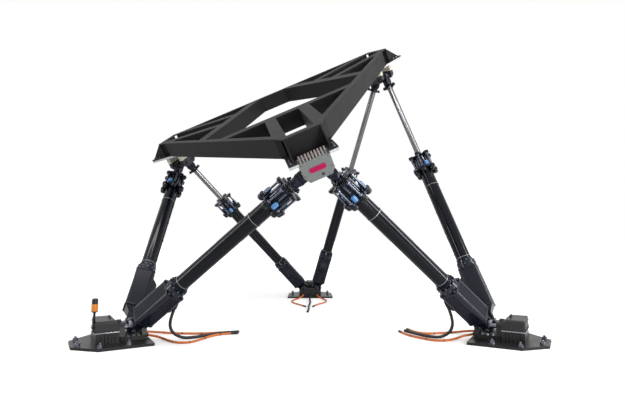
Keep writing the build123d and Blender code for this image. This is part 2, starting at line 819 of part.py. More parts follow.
def make_front_cover():
    """Sheet hood over the front joints: open at the back and below, with vent slots on top."""
    azimuth = 270.0
    depth = cover_outer_radius - bracket_outer_radius
    wall = Plane(
        origin=platform_centre + tilted(radial(azimuth)) * bracket_outer_radius,
        x_dir=tilted(tangent(azimuth)),
        z_dir=tilted(radial(azimuth)),
    )
    half = adapter_notch_half_width - side_gap
    lower = half - cover_taper
    with BuildPart() as front_cover:
        with BuildSketch(wall):
            with BuildLine():
                Polyline(
                    (-half, cover_top), (-half, cover_shoulder), (-lower, cover_bottom),
                    (lower, cover_bottom), (half, cover_shoulder), (half, cover_top), close=True,
                )
            make_face()
        extrude(amount=depth)
        with BuildSketch(wall):
            inner, inner_low = half - cover_thickness, lower - cover_thickness / 2
            with BuildLine():
                Polyline(
                    (-inner, cover_top - cover_thickness), (-inner, cover_shoulder),
                    (-inner_low, cover_bottom + cover_thickness), (inner_low, cover_bottom + cover_thickness),
                    (inner, cover_shoulder), (inner, cover_top - cover_thickness), close=True,
                )
            make_face()
        extrude(amount=depth - cover_thickness, mode=Mode.SUBTRACT)
        with BuildSketch(corner_plane(azimuth, cover_top)):
            with Locations((bracket_outer_radius + depth / 2, 0)):
                with GridLocations(1, 2 * lower / cover_slot_count, 1, cover_slot_count):
                    SlotOverall(depth - 2 * cover_slot_margin, cover_slot_width)
        extrude(amount=-cover_thickness, mode=Mode.SUBTRACT)
    return front_cover.part


def line_crossing(side, distance):
    """Where the inner side line of the frame, at a distance from the centre, passes y = side."""
    return (side, (distance - side * sin(radians(60))) / cos(radians(60)))


def frame_zones():
    """Plan outlines of the members of one third of the frame, as (r, t) points about a corner."""
    wall_start = line_crossing(spine_inner, frame_side_inner)
    spine_end = line_crossing(spine_outer, frame_side_inner)
    nose_t, nose_r = frame_nose
    shoulder_t, shoulder_r = frame_shoulder
    corner = mirrored([(wall_start[1], spine_inner), (shoulder_r, shoulder_t), (nose_r, nose_t)])
    spine = [
        (ring_outer, spine_inner), (ring_outer, spine_outer), (spine_end[1], spine_outer),
        (wall_start[1], spine_inner),
    ]
    ring_half_inner = (frame_side_inner - ring_inner * cos(radians(60))) / sin(radians(60))
    ring_half_outer = (frame_side_inner - ring_outer * cos(radians(60))) / sin(radians(60))
    ring = mirrored([(ring_inner, ring_half_inner), (ring_outer, ring_half_outer)])
    return corner, spine, ring


def frame_wall_outline():
    """Plan outline of one long side, from corner to corner, as (distance, along) points."""
    shoulder_t, shoulder_r = frame_shoulder
    outer_half = shoulder_r * sin(radians(60)) - shoulder_t * cos(radians(60))
    start = line_crossing(spine_inner, frame_side_inner)
    inner_half = start[1] * sin(radians(60)) - start[0] * cos(radians(60))
    return mirrored([(frame_side_inner, inner_half), (frame_side_distance, outer_half)])


def make_box_member(azimuth, outline, cavity):
    """A welded box section: an outline of the plan, its cavity open where it meets its neighbours."""
    with BuildPart() as box_member:
        with BuildSketch(corner_plane(azimuth, adapter_top)):
            with BuildLine():
                Polyline(outline, close=True)
            make_face()
        extrude(amount=frame_top - adapter_top)
        with BuildSketch(corner_plane(azimuth, adapter_top + frame_wall)):
            with BuildLine():
                Polyline(cavity, close=True)
            make_face()
        extrude(amount=frame_top - adapter_top - 2 * frame_wall, mode=Mode.SUBTRACT)
    return box_member.part


def make_corner_box(azimuth, outline):
    """Corner of the frame with its bottom flange and gussets."""
    nose_t, nose_r = frame_nose
    height = frame_top - adapter_top
    with BuildPart() as corner_box:
        with BuildSketch(corner_plane(azimuth, adapter_top)):
            with BuildLine():
                Polyline(outline, close=True)
            make_face()
        extrude(amount=height)
        with BuildSketch(corner_plane(azimuth, adapter_top + frame_wall)):
            with BuildLine():
                Polyline(outline, close=True)
            make_face()
            with Locations((nose_r, 0)):
                Rectangle(2 * frame_wall, 2 * nose_t, mode=Mode.SUBTRACT)
        extrude(amount=height - 2 * frame_wall, mode=Mode.SUBTRACT)
        with BuildSketch(corner_plane(azimuth, adapter_top)):
            with BuildLine():
                Polyline(
                    mirrored(
                        [
                            (nose_r - frame_ear_overlap, nose_t),
                            (nose_r - frame_ear_overlap, adapter_half_width),
                            (adapter_outer_radius, adapter_half_width),
                            (adapter_outer_radius, adapter_notch_half_width),
                            (bracket_outer_radius, adapter_notch_half_width),
                        ]
                    ),
                    close=True,
                )
            make_face()
        extrude(amount=frame_ear_thickness)
        for side in (-1, 1):
            gusset = Plane(
                origin=platform_centre + tilted(tangent(azimuth)) * (side * gusset_offset - gusset_thickness / 2),
                x_dir=tilted(radial(azimuth)),
                z_dir=-tilted(tangent(azimuth)),
            )
            low = adapter_top + frame_ear_thickness
            with BuildSketch(gusset):
                with BuildLine():
                    Polyline(
                        (nose_r - weld_depth, frame_top - gusset_top_drop), (nose_r - weld_depth, low - weld_depth),
                        (gusset_reach, low - weld_depth), (gusset_reach, low + gusset_tip_height), close=True,
                    )
                make_face()
            extrude(amount=-gusset_thickness)
    return corner_box.part


def make_frame():
    corner, spine, ring = frame_zones()
    members = []
    for azimuth in corner_azimuths:
        members.append(make_corner_box(azimuth, corner))
        for side in (-1, 1):
            outline = [(x, side * y) for x, y in spine]
            low, high = spine_inner + frame_wall, spine_outer - frame_wall
            cavity = [
                (ring_outer - weld_depth, side * low), (ring_outer - weld_depth, side * high),
                (line_crossing(high, frame_side_inner)[1] + weld_depth, side * high),
                (line_crossing(low, frame_side_inner)[1] + weld_depth, side * low),
            ]
            members.append(make_box_member(azimuth, outline, cavity))
        ring_half_inner, ring_half_outer = ring[0][1] + frame_wall, ring[1][1] + frame_wall
        cavity = mirrored([(ring_inner + frame_wall, ring_half_inner), (ring_outer - frame_wall, ring_half_outer)])
        members.append(make_box_member(azimuth, ring, cavity))
        outline = frame_wall_outline()
        inner_half, outer_half = outline[0][1], outline[1][1]
        cavity = mirrored(
            [
                (frame_side_inner + frame_wall, inner_half + weld_depth),
                (frame_side_distance - frame_wall, outer_half + weld_depth),
            ]
        )
        members.append(make_box_member(azimuth + 180.0, outline, cavity))
    return members


def joined(name, pieces):
    """Separate solids of one sub-part, kept apart."""
    return Compound(label=name, children=list(pieces))


def save(name, shape):
    shape.label = name
    export_step(shape, f"parts/{name}.step")


def main():
    os.makedirs("parts", exist_ok=True)
    save("foot_plates", joined("foot_plates", [make_foot_plate(a) for a in foot_azimuths]))
    save("pedestals", joined("pedestals", [make_pedestal(a) for a in foot_azimuths]))
    save("cabinet_bases", joined("cabinet_bases", [make_cabinet_base(a) for a in foot_azimuths]))
    save("cabinet_covers", joined("cabinet_covers", [make_cabinet_cover(a) for a in foot_azimuths]))
    nuts = [
        make_anchor_nut(azimuth, (r, side * t))
        for azimuth in foot_azimuths
        for r, t in anchor_places.values()
        for side in (-1, 1)
    ]
    save("anchor_nuts", joined("anchor_nuts", nuts))
    mast_foot = cabinet_base_top + cabinet_lip_height
    save("beacon_mast", make_lamp_piece(mast_radius, mast_foot, lens_bottom - mast_foot))
    save("beacon_lens", make_lamp_piece(lens_radius, lens_bottom, lens_height))
    save("beacon_cap", make_lamp_piece(lamp_cap_radius, lens_bottom + lens_height, lamp_cap_height, lamp_cap_bevel))
    for name in cord_routes:
        save(name, make_cord(name))
    save("cord_plugs", joined("cord_plugs", [make_plug(name) for name in cord_routes]))
    floor_fed = [name for name in cord_routes if name not in hose_elbows.values()]
    save("cable_connectors", joined("cable_connectors", [make_socket(name) for name in floor_fed]))
    for number, leg in leg_list.items():
        save(f"leg{number}_lower_cross", make_lower_cross(leg))
        housing_name = f"leg{number}_motor_housing"
        save(housing_name, joined(housing_name, [make_clevis(leg), make_motor_housing(leg)]))
        save(f"leg{number}_tube", make_tube(leg))
        save(f"leg{number}_head_cage", make_head_cage(leg))
        save(f"leg{number}_rod", make_rod(leg))
        save(f"leg{number}_upper_cross", make_upper_cross(leg))
    save("joint_brackets", joined("joint_brackets", [make_joint_bracket(a) for a in corner_azimuths]))
    save("adapter_plates", joined("adapter_plates", [make_adapter_plate(a) for a in corner_azimuths]))
    save("front_cover", make_front_cover())
    save("frame", joined("frame", make_frame()))


main()
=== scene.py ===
"""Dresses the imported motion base: finishes for its solids, and the finer pieces around them."""

import json
import logging
import math
from dataclasses import dataclass, field, replace
from enum import Enum
from typing import Any, Iterable, Sequence

import bmesh
import bpy
from mathutils import Matrix, Vector

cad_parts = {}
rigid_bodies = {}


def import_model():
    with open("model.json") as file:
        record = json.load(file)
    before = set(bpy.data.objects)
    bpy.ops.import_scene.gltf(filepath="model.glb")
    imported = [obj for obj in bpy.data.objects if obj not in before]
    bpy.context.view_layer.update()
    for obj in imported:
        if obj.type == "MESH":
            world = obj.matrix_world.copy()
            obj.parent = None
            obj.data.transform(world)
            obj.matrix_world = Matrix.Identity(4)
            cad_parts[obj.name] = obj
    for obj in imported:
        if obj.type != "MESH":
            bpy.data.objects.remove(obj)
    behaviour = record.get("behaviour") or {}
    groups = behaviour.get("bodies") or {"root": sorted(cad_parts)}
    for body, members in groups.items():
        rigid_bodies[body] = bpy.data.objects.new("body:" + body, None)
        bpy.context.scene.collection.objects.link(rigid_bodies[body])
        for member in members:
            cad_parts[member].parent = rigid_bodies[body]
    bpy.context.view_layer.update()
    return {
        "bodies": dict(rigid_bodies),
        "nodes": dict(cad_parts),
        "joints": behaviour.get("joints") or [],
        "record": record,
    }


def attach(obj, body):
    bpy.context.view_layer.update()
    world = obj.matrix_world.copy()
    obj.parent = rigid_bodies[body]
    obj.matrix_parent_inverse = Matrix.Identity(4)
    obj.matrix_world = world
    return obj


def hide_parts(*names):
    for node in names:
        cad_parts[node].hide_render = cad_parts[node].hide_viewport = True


LOG = logging.getLogger("motion_base")
Point = tuple[float, float, float]
Span = tuple[float, float]
Profile = Sequence[Span]
Form = bmesh.types.BMesh
# Sockets of the Mix node in its colour mode
MIX_FIRST, MIX_SECOND, MIX_RESULT = 6, 7, 2
# Tape round the jackets: its share of each pitch, and its colour
TAPE_SHARE, TAPE_COLOUR = 0.06, "#1a1614"
# Size of the colours' mottling
BLOTCH_MM = 250.0
# Edges flatter than this shade smooth
SMOOTH_ANGLE = math.radians(35.0)
# Light of the white world and the floor beside what the camera sees
SOFT_LIGHT = 0.42


class Head(Enum):
    """The kinds of fastener head."""

    HEX = 6
    SOCKET = 14


# Colour and materials
def linear(hex_value: str) -> tuple[float, float, float, float]:
    """Turns an sRGB hex value into a linear colour.

    Args:
        hex_value: The colour as "#rrggbb".

    Returns:
        Red, green and blue on a linear scale, and an alpha of 1.
    """
    channels = [int(hex_value[i : i + 2], 16) / 255 for i in (1, 3, 5)]
    red, green, blue = (c / 12.92 if c <= 0.04045 else ((c + 0.055) / 1.055) ** 2.4 for c in channels)
    return (red, green, blue, 1.0)


def add_node(tree: Any, kind: str, settings: dict[str, Any], links: dict[str, Any]) -> Any:
    """Adds one shader node with its settings and incoming links.

    Args:
        tree: The node tree.
        kind: The node's type name, without ShaderNode.
        settings: Attributes, or input values under their socket names.
        links: Output sockets, under the names of the inputs that they feed.

    Returns:
        The new node.
    """
    node = tree.nodes.new("ShaderNode" + kind)
    for name, value in settings.items():
        if name in node.inputs:
            node.inputs[name].default_value = value
        else:
            setattr(node, name, value)
    for name, socket in links.items():
        tree.links.new(socket, node.inputs[name])
    return node


def add_maths(tree: Any, operation: str, first: Any, second: Any = None) -> Any:
    """Adds a Math node.

    Args:
        tree: The material's node tree.
        operation: The node's operation.
        first: The socket of the first value.
        second: A socket or a number, or nothing where the operation takes one value.

    Returns:
        The node's output.
    """
    node = add_node(tree, "Math", {"operation": operation}, {0: first})
    if isinstance(second, float):
        node.inputs[1].default_value = second
    elif second is not None:
        tree.links.new(second, node.inputs[1])
    return node.outputs[0]


def add_noise(tree: Any, place: Any, scale: float, detail: float) -> Any:
    """Adds a noise texture and returns the socket with its value."""
    settings = {"Scale": scale, "Detail": detail}
    return add_node(tree, "TexNoise", settings, {"Vector": place}).outputs["Fac"]


def mixed_colours(tree: Any, factor: Any, first: str, second: str) -> Any:
    """Mixes two hex colours by a socket.

    Args:
        tree: The material's node tree.
        factor: The socket with the share of the second colour.
        first: The colour at a factor of 0.
        second: The colour at a factor of 1.

    Returns:
        The socket with the colour.
    """
    mix = add_node(tree, "Mix", {"data_type": "RGBA"}, {"Factor": factor})
    mix.inputs[MIX_FIRST].default_value = linear(first)
    mix.inputs[MIX_SECOND].default_value = linear(second)
    return mix.outputs[MIX_RESULT]


def add_bump(tree: Any, height: Any, strength: float, relief_mm: float) -> None:
    """Drives the shader's normal with a height.

    Args:
        tree: The material's node tree.
        height: The socket of the height pattern.
        strength: The strength of the effect, from 0 to 1.
        relief_mm: The real height of the pattern in millimetres.
    """
    settings = {"Strength": strength, "Distance": relief_mm / 1000}
    bump = add_node(tree, "Bump", settings, {"Height": height})
    tree.links.new(bump.outputs["Normal"], tree.nodes["Principled BSDF"].inputs["Normal"])


def new_material(name: str) -> tuple[Any, Any, Any]:
    """Makes a node material.

    Args:
        name: The material's name.

    Returns:
        The material, its node tree and its shader.
    """
    material = bpy.data.materials.new(name)
    material.use_nodes = True
    tree = material.node_tree
    return material, tree, tree.nodes["Principled BSDF"]


@dataclass(frozen=True)
class Finish:
    """A coated, metal, plastic or rubber surface with its grain.

    grain_mm is the size of the surface's mottling, and relief_mm is how deep it reads.
    """

    name: str
    colour: str
    second: str
    roughness: float
    metallic: float = 0.0
    coat: float = 0.0
    grain_mm: float = 3.0
    relief_mm: float = 0.1
    roughness_spread: float = 0.08
    specular: float = 0.5

    def base_colour(self, tree: Any, place: Any, blotch: Any) -> Any:
        """Mottles the two colours over the surface.

        Args:
            tree: The material's node tree.
            place: The Object coordinates.
            blotch: The socket with the noise that mixes the colours.

        Returns:
            The socket that gives the colour.
        """
        return mixed_colours(tree, blotch, self.colour, self.second)

    def material(self) -> Any:
        """Builds the material once.

        Returns:
            The material, the same one at every call.
        """
        known = bpy.data.materials.get(self.name)
        if known:
            return known
        material, tree, shader = new_material(self.name)
        place = add_node(tree, "TexCoord", {}, {}).outputs["Object"]
        blotch = add_noise(tree, place, 1000 / BLOTCH_MM, 4.0)
        grain = add_noise(tree, place, 1000 / self.grain_mm, 2.0)
        tree.links.new(self.base_colour(tree, place, blotch), shader.inputs["Base Color"])
        spread = {
            "To Min": max(self.roughness - self.roughness_spread, 0.02),
            "To Max": self.roughness + self.roughness_spread,
        }
        rough = add_node(tree, "MapRange", spread, {"Value": blotch})
        tree.links.new(rough.outputs["Result"], shader.inputs["Roughness"])
        add_bump(tree, grain, 0.6, self.relief_mm)
        shader.inputs["Metallic"].default_value = self.metallic
        shader.inputs["Coat Weight"].default_value = self.coat
        shader.inputs["Coat Roughness"].default_value = 0.12
        shader.inputs["Specular IOR Level"].default_value = self.specular
        return material


@dataclass(frozen=True)
class MaskedFinish(Finish):
    """A coat masked along a plane: below_height along normal, the colours are the lower ones."""

    lower: str = "#1f2024"
    lower_second: str = "#2b2c31"
    normal: Point = (0.0, 0.0, 1.0)
    below_height: float = 0.0

    def base_colour(self, tree: Any, place: Any, blotch: Any) -> Any:
        """Mottles two pairs of colours, one on each side of the plane.

        Args:
            tree: The material's node tree.
            place: The socket of the object coordinates.
            blotch: The socket of the mottling.

        Returns:
            The socket with the colour.
        """
        upper = super().base_colour(tree, place, blotch)
        under = mixed_colours(tree, blotch, self.lower, self.lower_second)
        height = add_node(tree, "VectorMath", {"operation": "DOT_PRODUCT"}, {0: place})
        height.inputs[1].default_value = self.normal
        side = add_maths(tree, "GREATER_THAN", height.outputs["Value"], self.below_height)
        links = {"Factor": side, MIX_FIRST: under, MIX_SECOND: upper}
        return add_node(tree, "Mix", {"data_type": "RGBA"}, links).outputs[MIX_RESULT]


@dataclass(frozen=True)
class CordFinish:
    """A jacket whose rings follow the cord: pitch_mm apart and relief_mm deep."""

    name: str
    colour: str
    second: str
    roughness: float
    pitch_mm: float
    relief_mm: float
    tape_mm: float = 0.0

    def mark(self, tree: Any, place: Any, colour: Any, length: float) -> Any:
        """Puts black bands of tape round the jacket, one every tape_mm.

        Args:
            tree: The material's node tree.
            place: The UV coordinates, which run along the cord.
            colour: The socket with the plain colour.
            length: The cord's length in metres.

        Returns:
            The socket with the banded colour.
        """
        if not self.tape_mm:
            return colour
        along = add_node(tree, "SeparateXYZ", {}, {"Vector": place}).outputs["X"]
        turns = add_maths(tree, "MULTIPLY", along, length * 1000 / self.tape_mm)
        band = add_maths(tree, "LESS_THAN", add_maths(tree, "FRACT", turns), TAPE_SHARE)
        links = {"Factor": band, MIX_FIRST: colour}
        banded = add_node(tree, "Mix", {"data_type": "RGBA"}, links)
        banded.inputs[MIX_SECOND].default_value = linear(TAPE_COLOUR)
        return banded.outputs[MIX_RESULT]

    def material(self, length: float) -> Any:
        """Builds the jacket for a cord of one length.

        Args:
            length: The cord's length in metres, which the UV map spans.

        Returns:
            The material.
        """
        material, tree, shader = new_material(f"{self.name}_{round(length * 1000)}")
        coordinates = add_node(tree, "TexCoord", {}, {})
        along = coordinates.outputs["UV"]
        settings = {"bands_direction": "X", "Scale": length * 1000 / self.pitch_mm * math.tau / 20}
        rings = add_node(tree, "TexWave", settings, {"Vector": along})
        scuffs = add_noise(tree, coordinates.outputs["Object"], 30.0, 5.0)
        colour = mixed_colours(tree, scuffs, self.colour, self.second)
        tree.links.new(self.mark(tree, along, colour, length), shader.inputs["Base Color"])
        add_bump(tree, rings.outputs["Fac"], 0.8, self.relief_mm)
        shader.inputs["Roughness"].default_value = self.roughness
        return material


# Powder coat: fine orange peel, half matt, with a dull sheen
FRAME_COAT = Finish(
    "charcoal_powder_coat", "#1c1c1d", "#222223", 0.58, grain_mm=2.5, relief_mm=0.12, specular=0.15
)
PLATE_COAT = Finish(
    "black_powder_coat", "#161617", "#1e1e1f", 0.38, grain_mm=2.5, relief_mm=0.12, specular=0.3
)
# Two-pack gloss enamel on turned steel: near black, with sharp long highlights
TUBE_ENAMEL = Finish(
    "black_gloss_enamel", "#06080e", "#0a0d16", 0.12, grain_mm=14.0, relief_mm=0.01,
    roughness_spread=0.03, specular=0.2,
)
HOUSING_ENAMEL = Finish(
    "black_satin_enamel", "#0f121b", "#191d2a", 0.20, grain_mm=8.0, relief_mm=0.02, specular=0.3
)
# Jackets: orange polyurethane, and black corrugated polyamide with its rings drawn by the bump
ORANGE_JACKET = CordFinish("orange_polyurethane_jacket", "#de7c34", "#c0601f", 0.42, 40.0, 0.3, tape_mm=240.0)
HOSE_JACKET = CordFinish("black_corrugated_polyamide", "#111215", "#1c1d21", 0.38, 14.0, 2.0)
# Hard chrome on ground steel: near mirror, with faint turning marks too fine to show
CHROME = Finish(
    "hard_chrome", "#858689", "#6c6d70", 0.20, metallic=1.0, grain_mm=60.0, relief_mm=0.002,
    roughness_spread=0.02,
)
# Turned and milled steels: dull grey, bluish where blackened
STEEL = Finish("machined_steel", "#74767c", "#5f6167", 0.30, metallic=1.0, relief_mm=0.02)
ZINC = Finish("zinc_plated_steel", "#7c7f88", "#666973", 0.30, metallic=1.0, relief_mm=0.01)
DARK_STEEL = Finish("phosphated_steel", "#1b1d26", "#2b2e3a", 0.30, metallic=0.85, relief_mm=0.02)
BRIGHT_STEEL = Finish(
    "polished_stainless_steel", "#646874", "#4f535d", 0.16, metallic=1.0, grain_mm=30.0, relief_mm=0.002
)
KNOB_STEEL = Finish(
    "blackened_steel", "#15161a", "#24262d", 0.22, metallic=0.6, coat=0.2, grain_mm=4.0, relief_mm=0.02
)
SEAM_STEEL = Finish(
    "dull_drawn_steel", "#3a3b3f", "#2f3034", 0.34, metallic=0.9, grain_mm=30.0, relief_mm=0.002
)
# Milled and anodised aluminium: pale, with a soft spread of highlight
ALUMINIUM = Finish("milled_aluminium", "#c8cacc", "#b4b6b8", 0.38, metallic=1.0, relief_mm=0.03)
CABINET_LIP = Finish(
    "clear_anodised_aluminium", "#a2a4a8", "#8f9195", 0.36, metallic=1.0, relief_mm=0.02
)
PALE_RING = Finish(
    "pale_anodised_aluminium", "#8b8d92", "#7a7c81", 0.40, metallic=0.6, relief_mm=0.01
)
PALE_FIN = Finish("pale_pressed_aluminium", "#9c928d", "#7f7773", 0.45, metallic=0.3, relief_mm=0.03)
CABINET_BLACK = Finish(
    "black_anodised_casting", "#161618", "#222225", 0.36, metallic=0.3, relief_mm=0.08
)
# Primer, enamel and textured paint: even colour, little gloss
CREAM_PRIMER = MaskedFinish("light_primer_over_black", "#cfcabb", "#bdb8a9", 0.55, relief_mm=0.08)
COVER_GREY = Finish("mid_grey_enamel", "#636766", "#6b6f6d", 0.42, coat=0.1, relief_mm=0.06)
CABINET_GREY = Finish(
    "dark_textured_paint", "#202022", "#2a2a2c", 0.42, grain_mm=2.5, relief_mm=0.15, specular=0.3
)
# Plastics: evenly coloured right through
AMBER = Finish("amber_polycarbonate", "#e8921c", "#c9720c", 0.20, coat=0.3, grain_mm=6.0, relief_mm=0.03)
BLACK_PLASTIC = Finish(
    "black_polyamide", "#101012", "#1a1a1c", 0.42, grain_mm=2.0, relief_mm=0.06, specular=0.4
)
BLUE_CAP = Finish("blue_polyurethane", "#3470a8", "#4f8ac4", 0.28, coat=0.3, relief_mm=0.03)
BADGE = Finish("magenta_enamel", "#a6004a", "#980042", 0.34, relief_mm=0.02, specular=0.2)

NODE_FINISHES: dict[str, Finish] = {
    "foot_plates": PLATE_COAT,
    "pedestals": PLATE_COAT,
    "cabinet_bases": CABINET_BLACK,
    "cabinet_covers": CABINET_GREY,
    "anchor_nuts": ZINC,
    "beacon_mast": DARK_STEEL,
    "beacon_lens": AMBER,
    "beacon_cap": BLACK_PLASTIC,
    "frame": FRAME_COAT,
    "adapter_plates": ALUMINIUM,
    "joint_brackets": CREAM_PRIMER,
    "front_cover": COVER_GREY,
    "lower_cross": STEEL,
    "motor_housing": HOUSING_ENAMEL,
    "tube": TUBE_ENAMEL,
    "head_cage": DARK_STEEL,
    "rod": CHROME,
    "upper_cross": STEEL,
}


# Mesh helpers
def outline(*numbers: float) -> list[Span]:
    """A half outline from its radii and heights in turn, in millimetres."""
    return [(radius / 1000, height / 1000) for radius, height in zip(numbers[::2], numbers[1::2])]


def turned_form(profile: Profile, segments: int = 48) -> Form:
    """Spins a half outline about the z axis.

    Args:
        profile: Radius and height of each point, in metres.
        segments: How many steps make the full turn.

    Returns:
        The closed or open form.
    """
    form = bmesh.new()
    points = [form.verts.new((radius, 0.0, height)) for radius, height in profile]
    edges = [form.edges.new(pair) for pair in zip(points, points[1:])]
    bmesh.ops.spin(
        form, geom=points + edges, cent=(0, 0, 0), axis=(0, 0, 1), angle=math.tau, steps=segments,
        use_merge=True,
    )
    bmesh.ops.remove_doubles(form, verts=form.verts, dist=1e-6)
    bmesh.ops.recalc_face_normals(form, faces=form.faces)
    return form


def turned_copies(profile: Profile, segments: int, places: Iterable[Matrix]) -> Form:
    """Repeats a turned form at each place."""
    return copied(turned_form(profile, segments), places)


def round_edges(form: Form, edges: list[Any], offset: float, segments: int = 2) -> None:
    """Rounds off some edges of a form.

    Args:
        form: The form, which is changed in place.
        edges: The edges to round.
        offset: The width of the rounding, in metres.
        segments: The steps across the rounding.
    """
    bmesh.ops.bevel(
        form, geom=edges, offset=offset, segments=segments, profile=0.5, affect="EDGES", material=-1
    )


def block_form(size: Point, centre: Point, edge: float) -> Form:
    """A box with rounded edges.

    Args:
        size: Its length along x, y and z.
        centre: Its middle.
        edge: The width of the rounding, or 0 for sharp edges.

    Returns:
        The box.
    """
    form = bmesh.new()
    place = Matrix.Translation(centre) @ Matrix.Diagonal((*size, 1.0))
    bmesh.ops.create_cube(form, size=1.0, matrix=place)
    if edge:
        round_edges(form, form.edges[:], edge)
    return form


def round_bar(
    radius: float, start: Point, end: Point, segments: int = 16, edge: float = 0.0
) -> Form:
    """A round bar between two points, with its end edges rounded off.

    Args:
        radius: The bar's radius.
        start: The middle of one end.
        end: The middle of the other end.
        segments: The number of its sides.
        edge: The width of the rounding, or 0 for sharp ends.

    Returns:
        The bar.
    """
    form = bmesh.new()
    along = Vector(end) - Vector(start)
    turn = along.to_track_quat("Z", "Y").to_matrix().to_4x4()
    place = Matrix.Translation((Vector(start) + Vector(end)) / 2) @ turn
    bmesh.ops.create_cone(
        form, cap_ends=True, segments=segments, radius1=radius, radius2=radius, depth=along.length,
        matrix=place,
    )
    if edge:
        round_edges(
            form, [e for e in form.edges if any(len(face.verts) > 4 for face in e.link_faces)], edge
        )
    return form


def merged(forms: Iterable[Form]) -> Form:
    """Puts several forms in one.

    Args:
        forms: The forms, which are freed.

    Returns:
        The form that holds them all.
    """
    whole = bmesh.new()
    for form in forms:
        mesh = bpy.data.meshes.new("passing")
        form.to_mesh(mesh)
        whole.from_mesh(mesh)
        form.free()
        bpy.data.meshes.remove(mesh)
    return whole


def copied(form: Form, places: Iterable[Matrix]) -> Form:
    """Repeats a form at each place.

    Args:
        form: The form, which is freed.
        places: Where each copy stands.

    Returns:
        The form that holds all the copies.
    """
    copies = []
    for place in places:
        copy = form.copy()
        bmesh.ops.transform(copy, matrix=place, verts=copy.verts)
        copies.append(copy)
    form.free()
    return merged(copies)


def finish_piece(
    name: str, form: Form, place: Matrix, finish: Finish, body: str
) -> Any:
    """Makes a piece of a form, in place, with its material and its body.

    Args:
        name: The piece's name.
        form: The form in local axes; it is freed.
        place: From local axes to the object's own.
        finish: The surface.
        body: The body that carries the piece.

    Returns:
        The new object.
    """
    bmesh.ops.transform(form, matrix=place, verts=form.verts)
    mesh = bpy.data.meshes.new(name)
    form.to_mesh(mesh)
    form.free()
    mesh.shade_smooth()
    mesh.set_sharp_from_angle(angle=SMOOTH_ANGLE)
    mesh.materials.append(finish.material())
    piece = bpy.data.objects.new(name, mesh)
    bpy.context.scene.collection.objects.link(piece)
    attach(piece, body)
    return piece


def axes_matrix(origin: Vector, x_axis: Vector, z_axis: Vector) -> Matrix:
    """A place from its origin, its x axis and its z axis.

    Args:
        origin: The origin.
        x_axis: The direction of x, of length 1.
        z_axis: The direction of z, of length 1 and square to x.

    Returns:
        The place.
    """
    y_axis = z_axis.cross(x_axis)
    turn = Matrix((x_axis, y_axis, z_axis)).transposed().to_4x4()
    return Matrix.Translation(origin) @ turn


def around(radius: float, count: int, start_degrees: float = 0.0, height: float = 0.0) -> list[Matrix]:
    """Places evenly spaced on a circle about z.

    Args:
        radius: The circle's radius.
        count: The number of places.
        start_degrees: The angle of the first place.
        height: The circle's height on z.

    Returns:
        The places, each with its x axis outwards.
    """
    places = []
    for index in range(count):
        turn = Matrix.Rotation(math.radians(start_degrees + index * 360 / count), 4, "Z")
        places.append(turn @ Matrix.Translation((radius, 0, height)))
    return places


def flipped(places: Iterable[Matrix]) -> list[Matrix]:
    """The same places, each looking the other way along its z axis."""
    return [place @ Matrix.Rotation(math.pi, 4, "X") for place in places]


def plain_disc(segments: int, radii: Span, depth: float, centre: float) -> Form:
    """A short cone that stands on z.

    Args:
        segments: The number of its sides.
        radii: The lower and the upper radius.
        depth: Its height.
        centre: The height of its middle.

    Returns:
        The disc.
    """
    form = bmesh.new()
    bmesh.ops.create_cone(
        form,
        cap_ends=True,
        segments=segments,
        radius1=radii[0],
        radius2=radii[1],
        depth=depth,
        matrix=Matrix.Translation((0, 0, centre)),
    )
    return form


def bolts(kind: Head, radius: float, height: float, places: Iterable[Matrix]) -> Form:
    """Fastener heads on washers, one at each place, standing along its z axis.

    Args:
        kind: Hexagon or socket head.
        radius: Of the head, to its corners.
        height: Of the head, without its washer.
        places: Where the heads stand.

    Returns:
        All the heads in one form.
    """
    washer = height * 0.2
    disc = plain_disc(14, (radius * 1.3, radius * 1.25), washer, washer / 2)
    head = plain_disc(kind.value, (radius, radius), height, washer + height / 2)
    top = [face for face in head.faces if face.normal.z > 0.9]
    steps = [(0.12 * radius, 0.1 * radius)]
    if kind is Head.SOCKET:
        steps += [(0.35 * radius, 0.0), (0.02 * radius, -0.5 * height)]
    for thickness, depth in steps:
        bmesh.ops.inset_region(
            head, faces=top, thickness=thickness, depth=depth, use_even_offset=True
        )
    return copied(merged([disc, head]), places)


def facing(origin: Point, normal: Point) -> Matrix:
    """A place at a point whose z axis looks along a direction."""
    return Matrix.Translation(origin) @ Vector(normal).to_track_quat("Z", "Y").to_matrix().to_4x4()


def weld_bead(start: Point, end: Point, radius: float = 0.006) -> Form:
    """A weld bead: a slim rippled bar laid in a corner.

    Args:
        start: The middle of one end.
        end: The middle of the other end.
        radius: The bead's radius at its start.

    Returns:
        The bead.
    """
    length = (Vector(end) - Vector(start)).length
    ripples = max(4, min(60, int(length / 0.03)))
    form = bmesh.new()
    bmesh.ops.create_circle(form, cap_ends=True, segments=8, radius=radius)
    step = length / ripples
    for index in range(ripples):
        faces = [face for face in form.faces if face.normal.z > 0.5] or form.faces[:]
        ring = bmesh.ops.extrude_face_region(form, geom=faces[-1:])
        grown = [item for item in ring["geom"] if isinstance(item, bmesh.types.BMVert)]
        swell = 1.12 if index % 2 else 0.89
        bmesh.ops.translate(form, verts=grown, vec=(0, 0, step))
        bmesh.ops.scale(form, verts=grown, vec=(swell, swell, 1.0))
        if index:
            bmesh.ops.delete(form, geom=faces[-1:], context="FACES_ONLY")
    bmesh.ops.recalc_face_normals(form, faces=form.faces)
    turn = (Vector(end) - Vector(start)).to_track_quat("Z", "Y").to_matrix().to_4x4()
    bmesh.ops.transform(form, matrix=Matrix.Translation(start) @ turn, verts=form.verts)
    return form


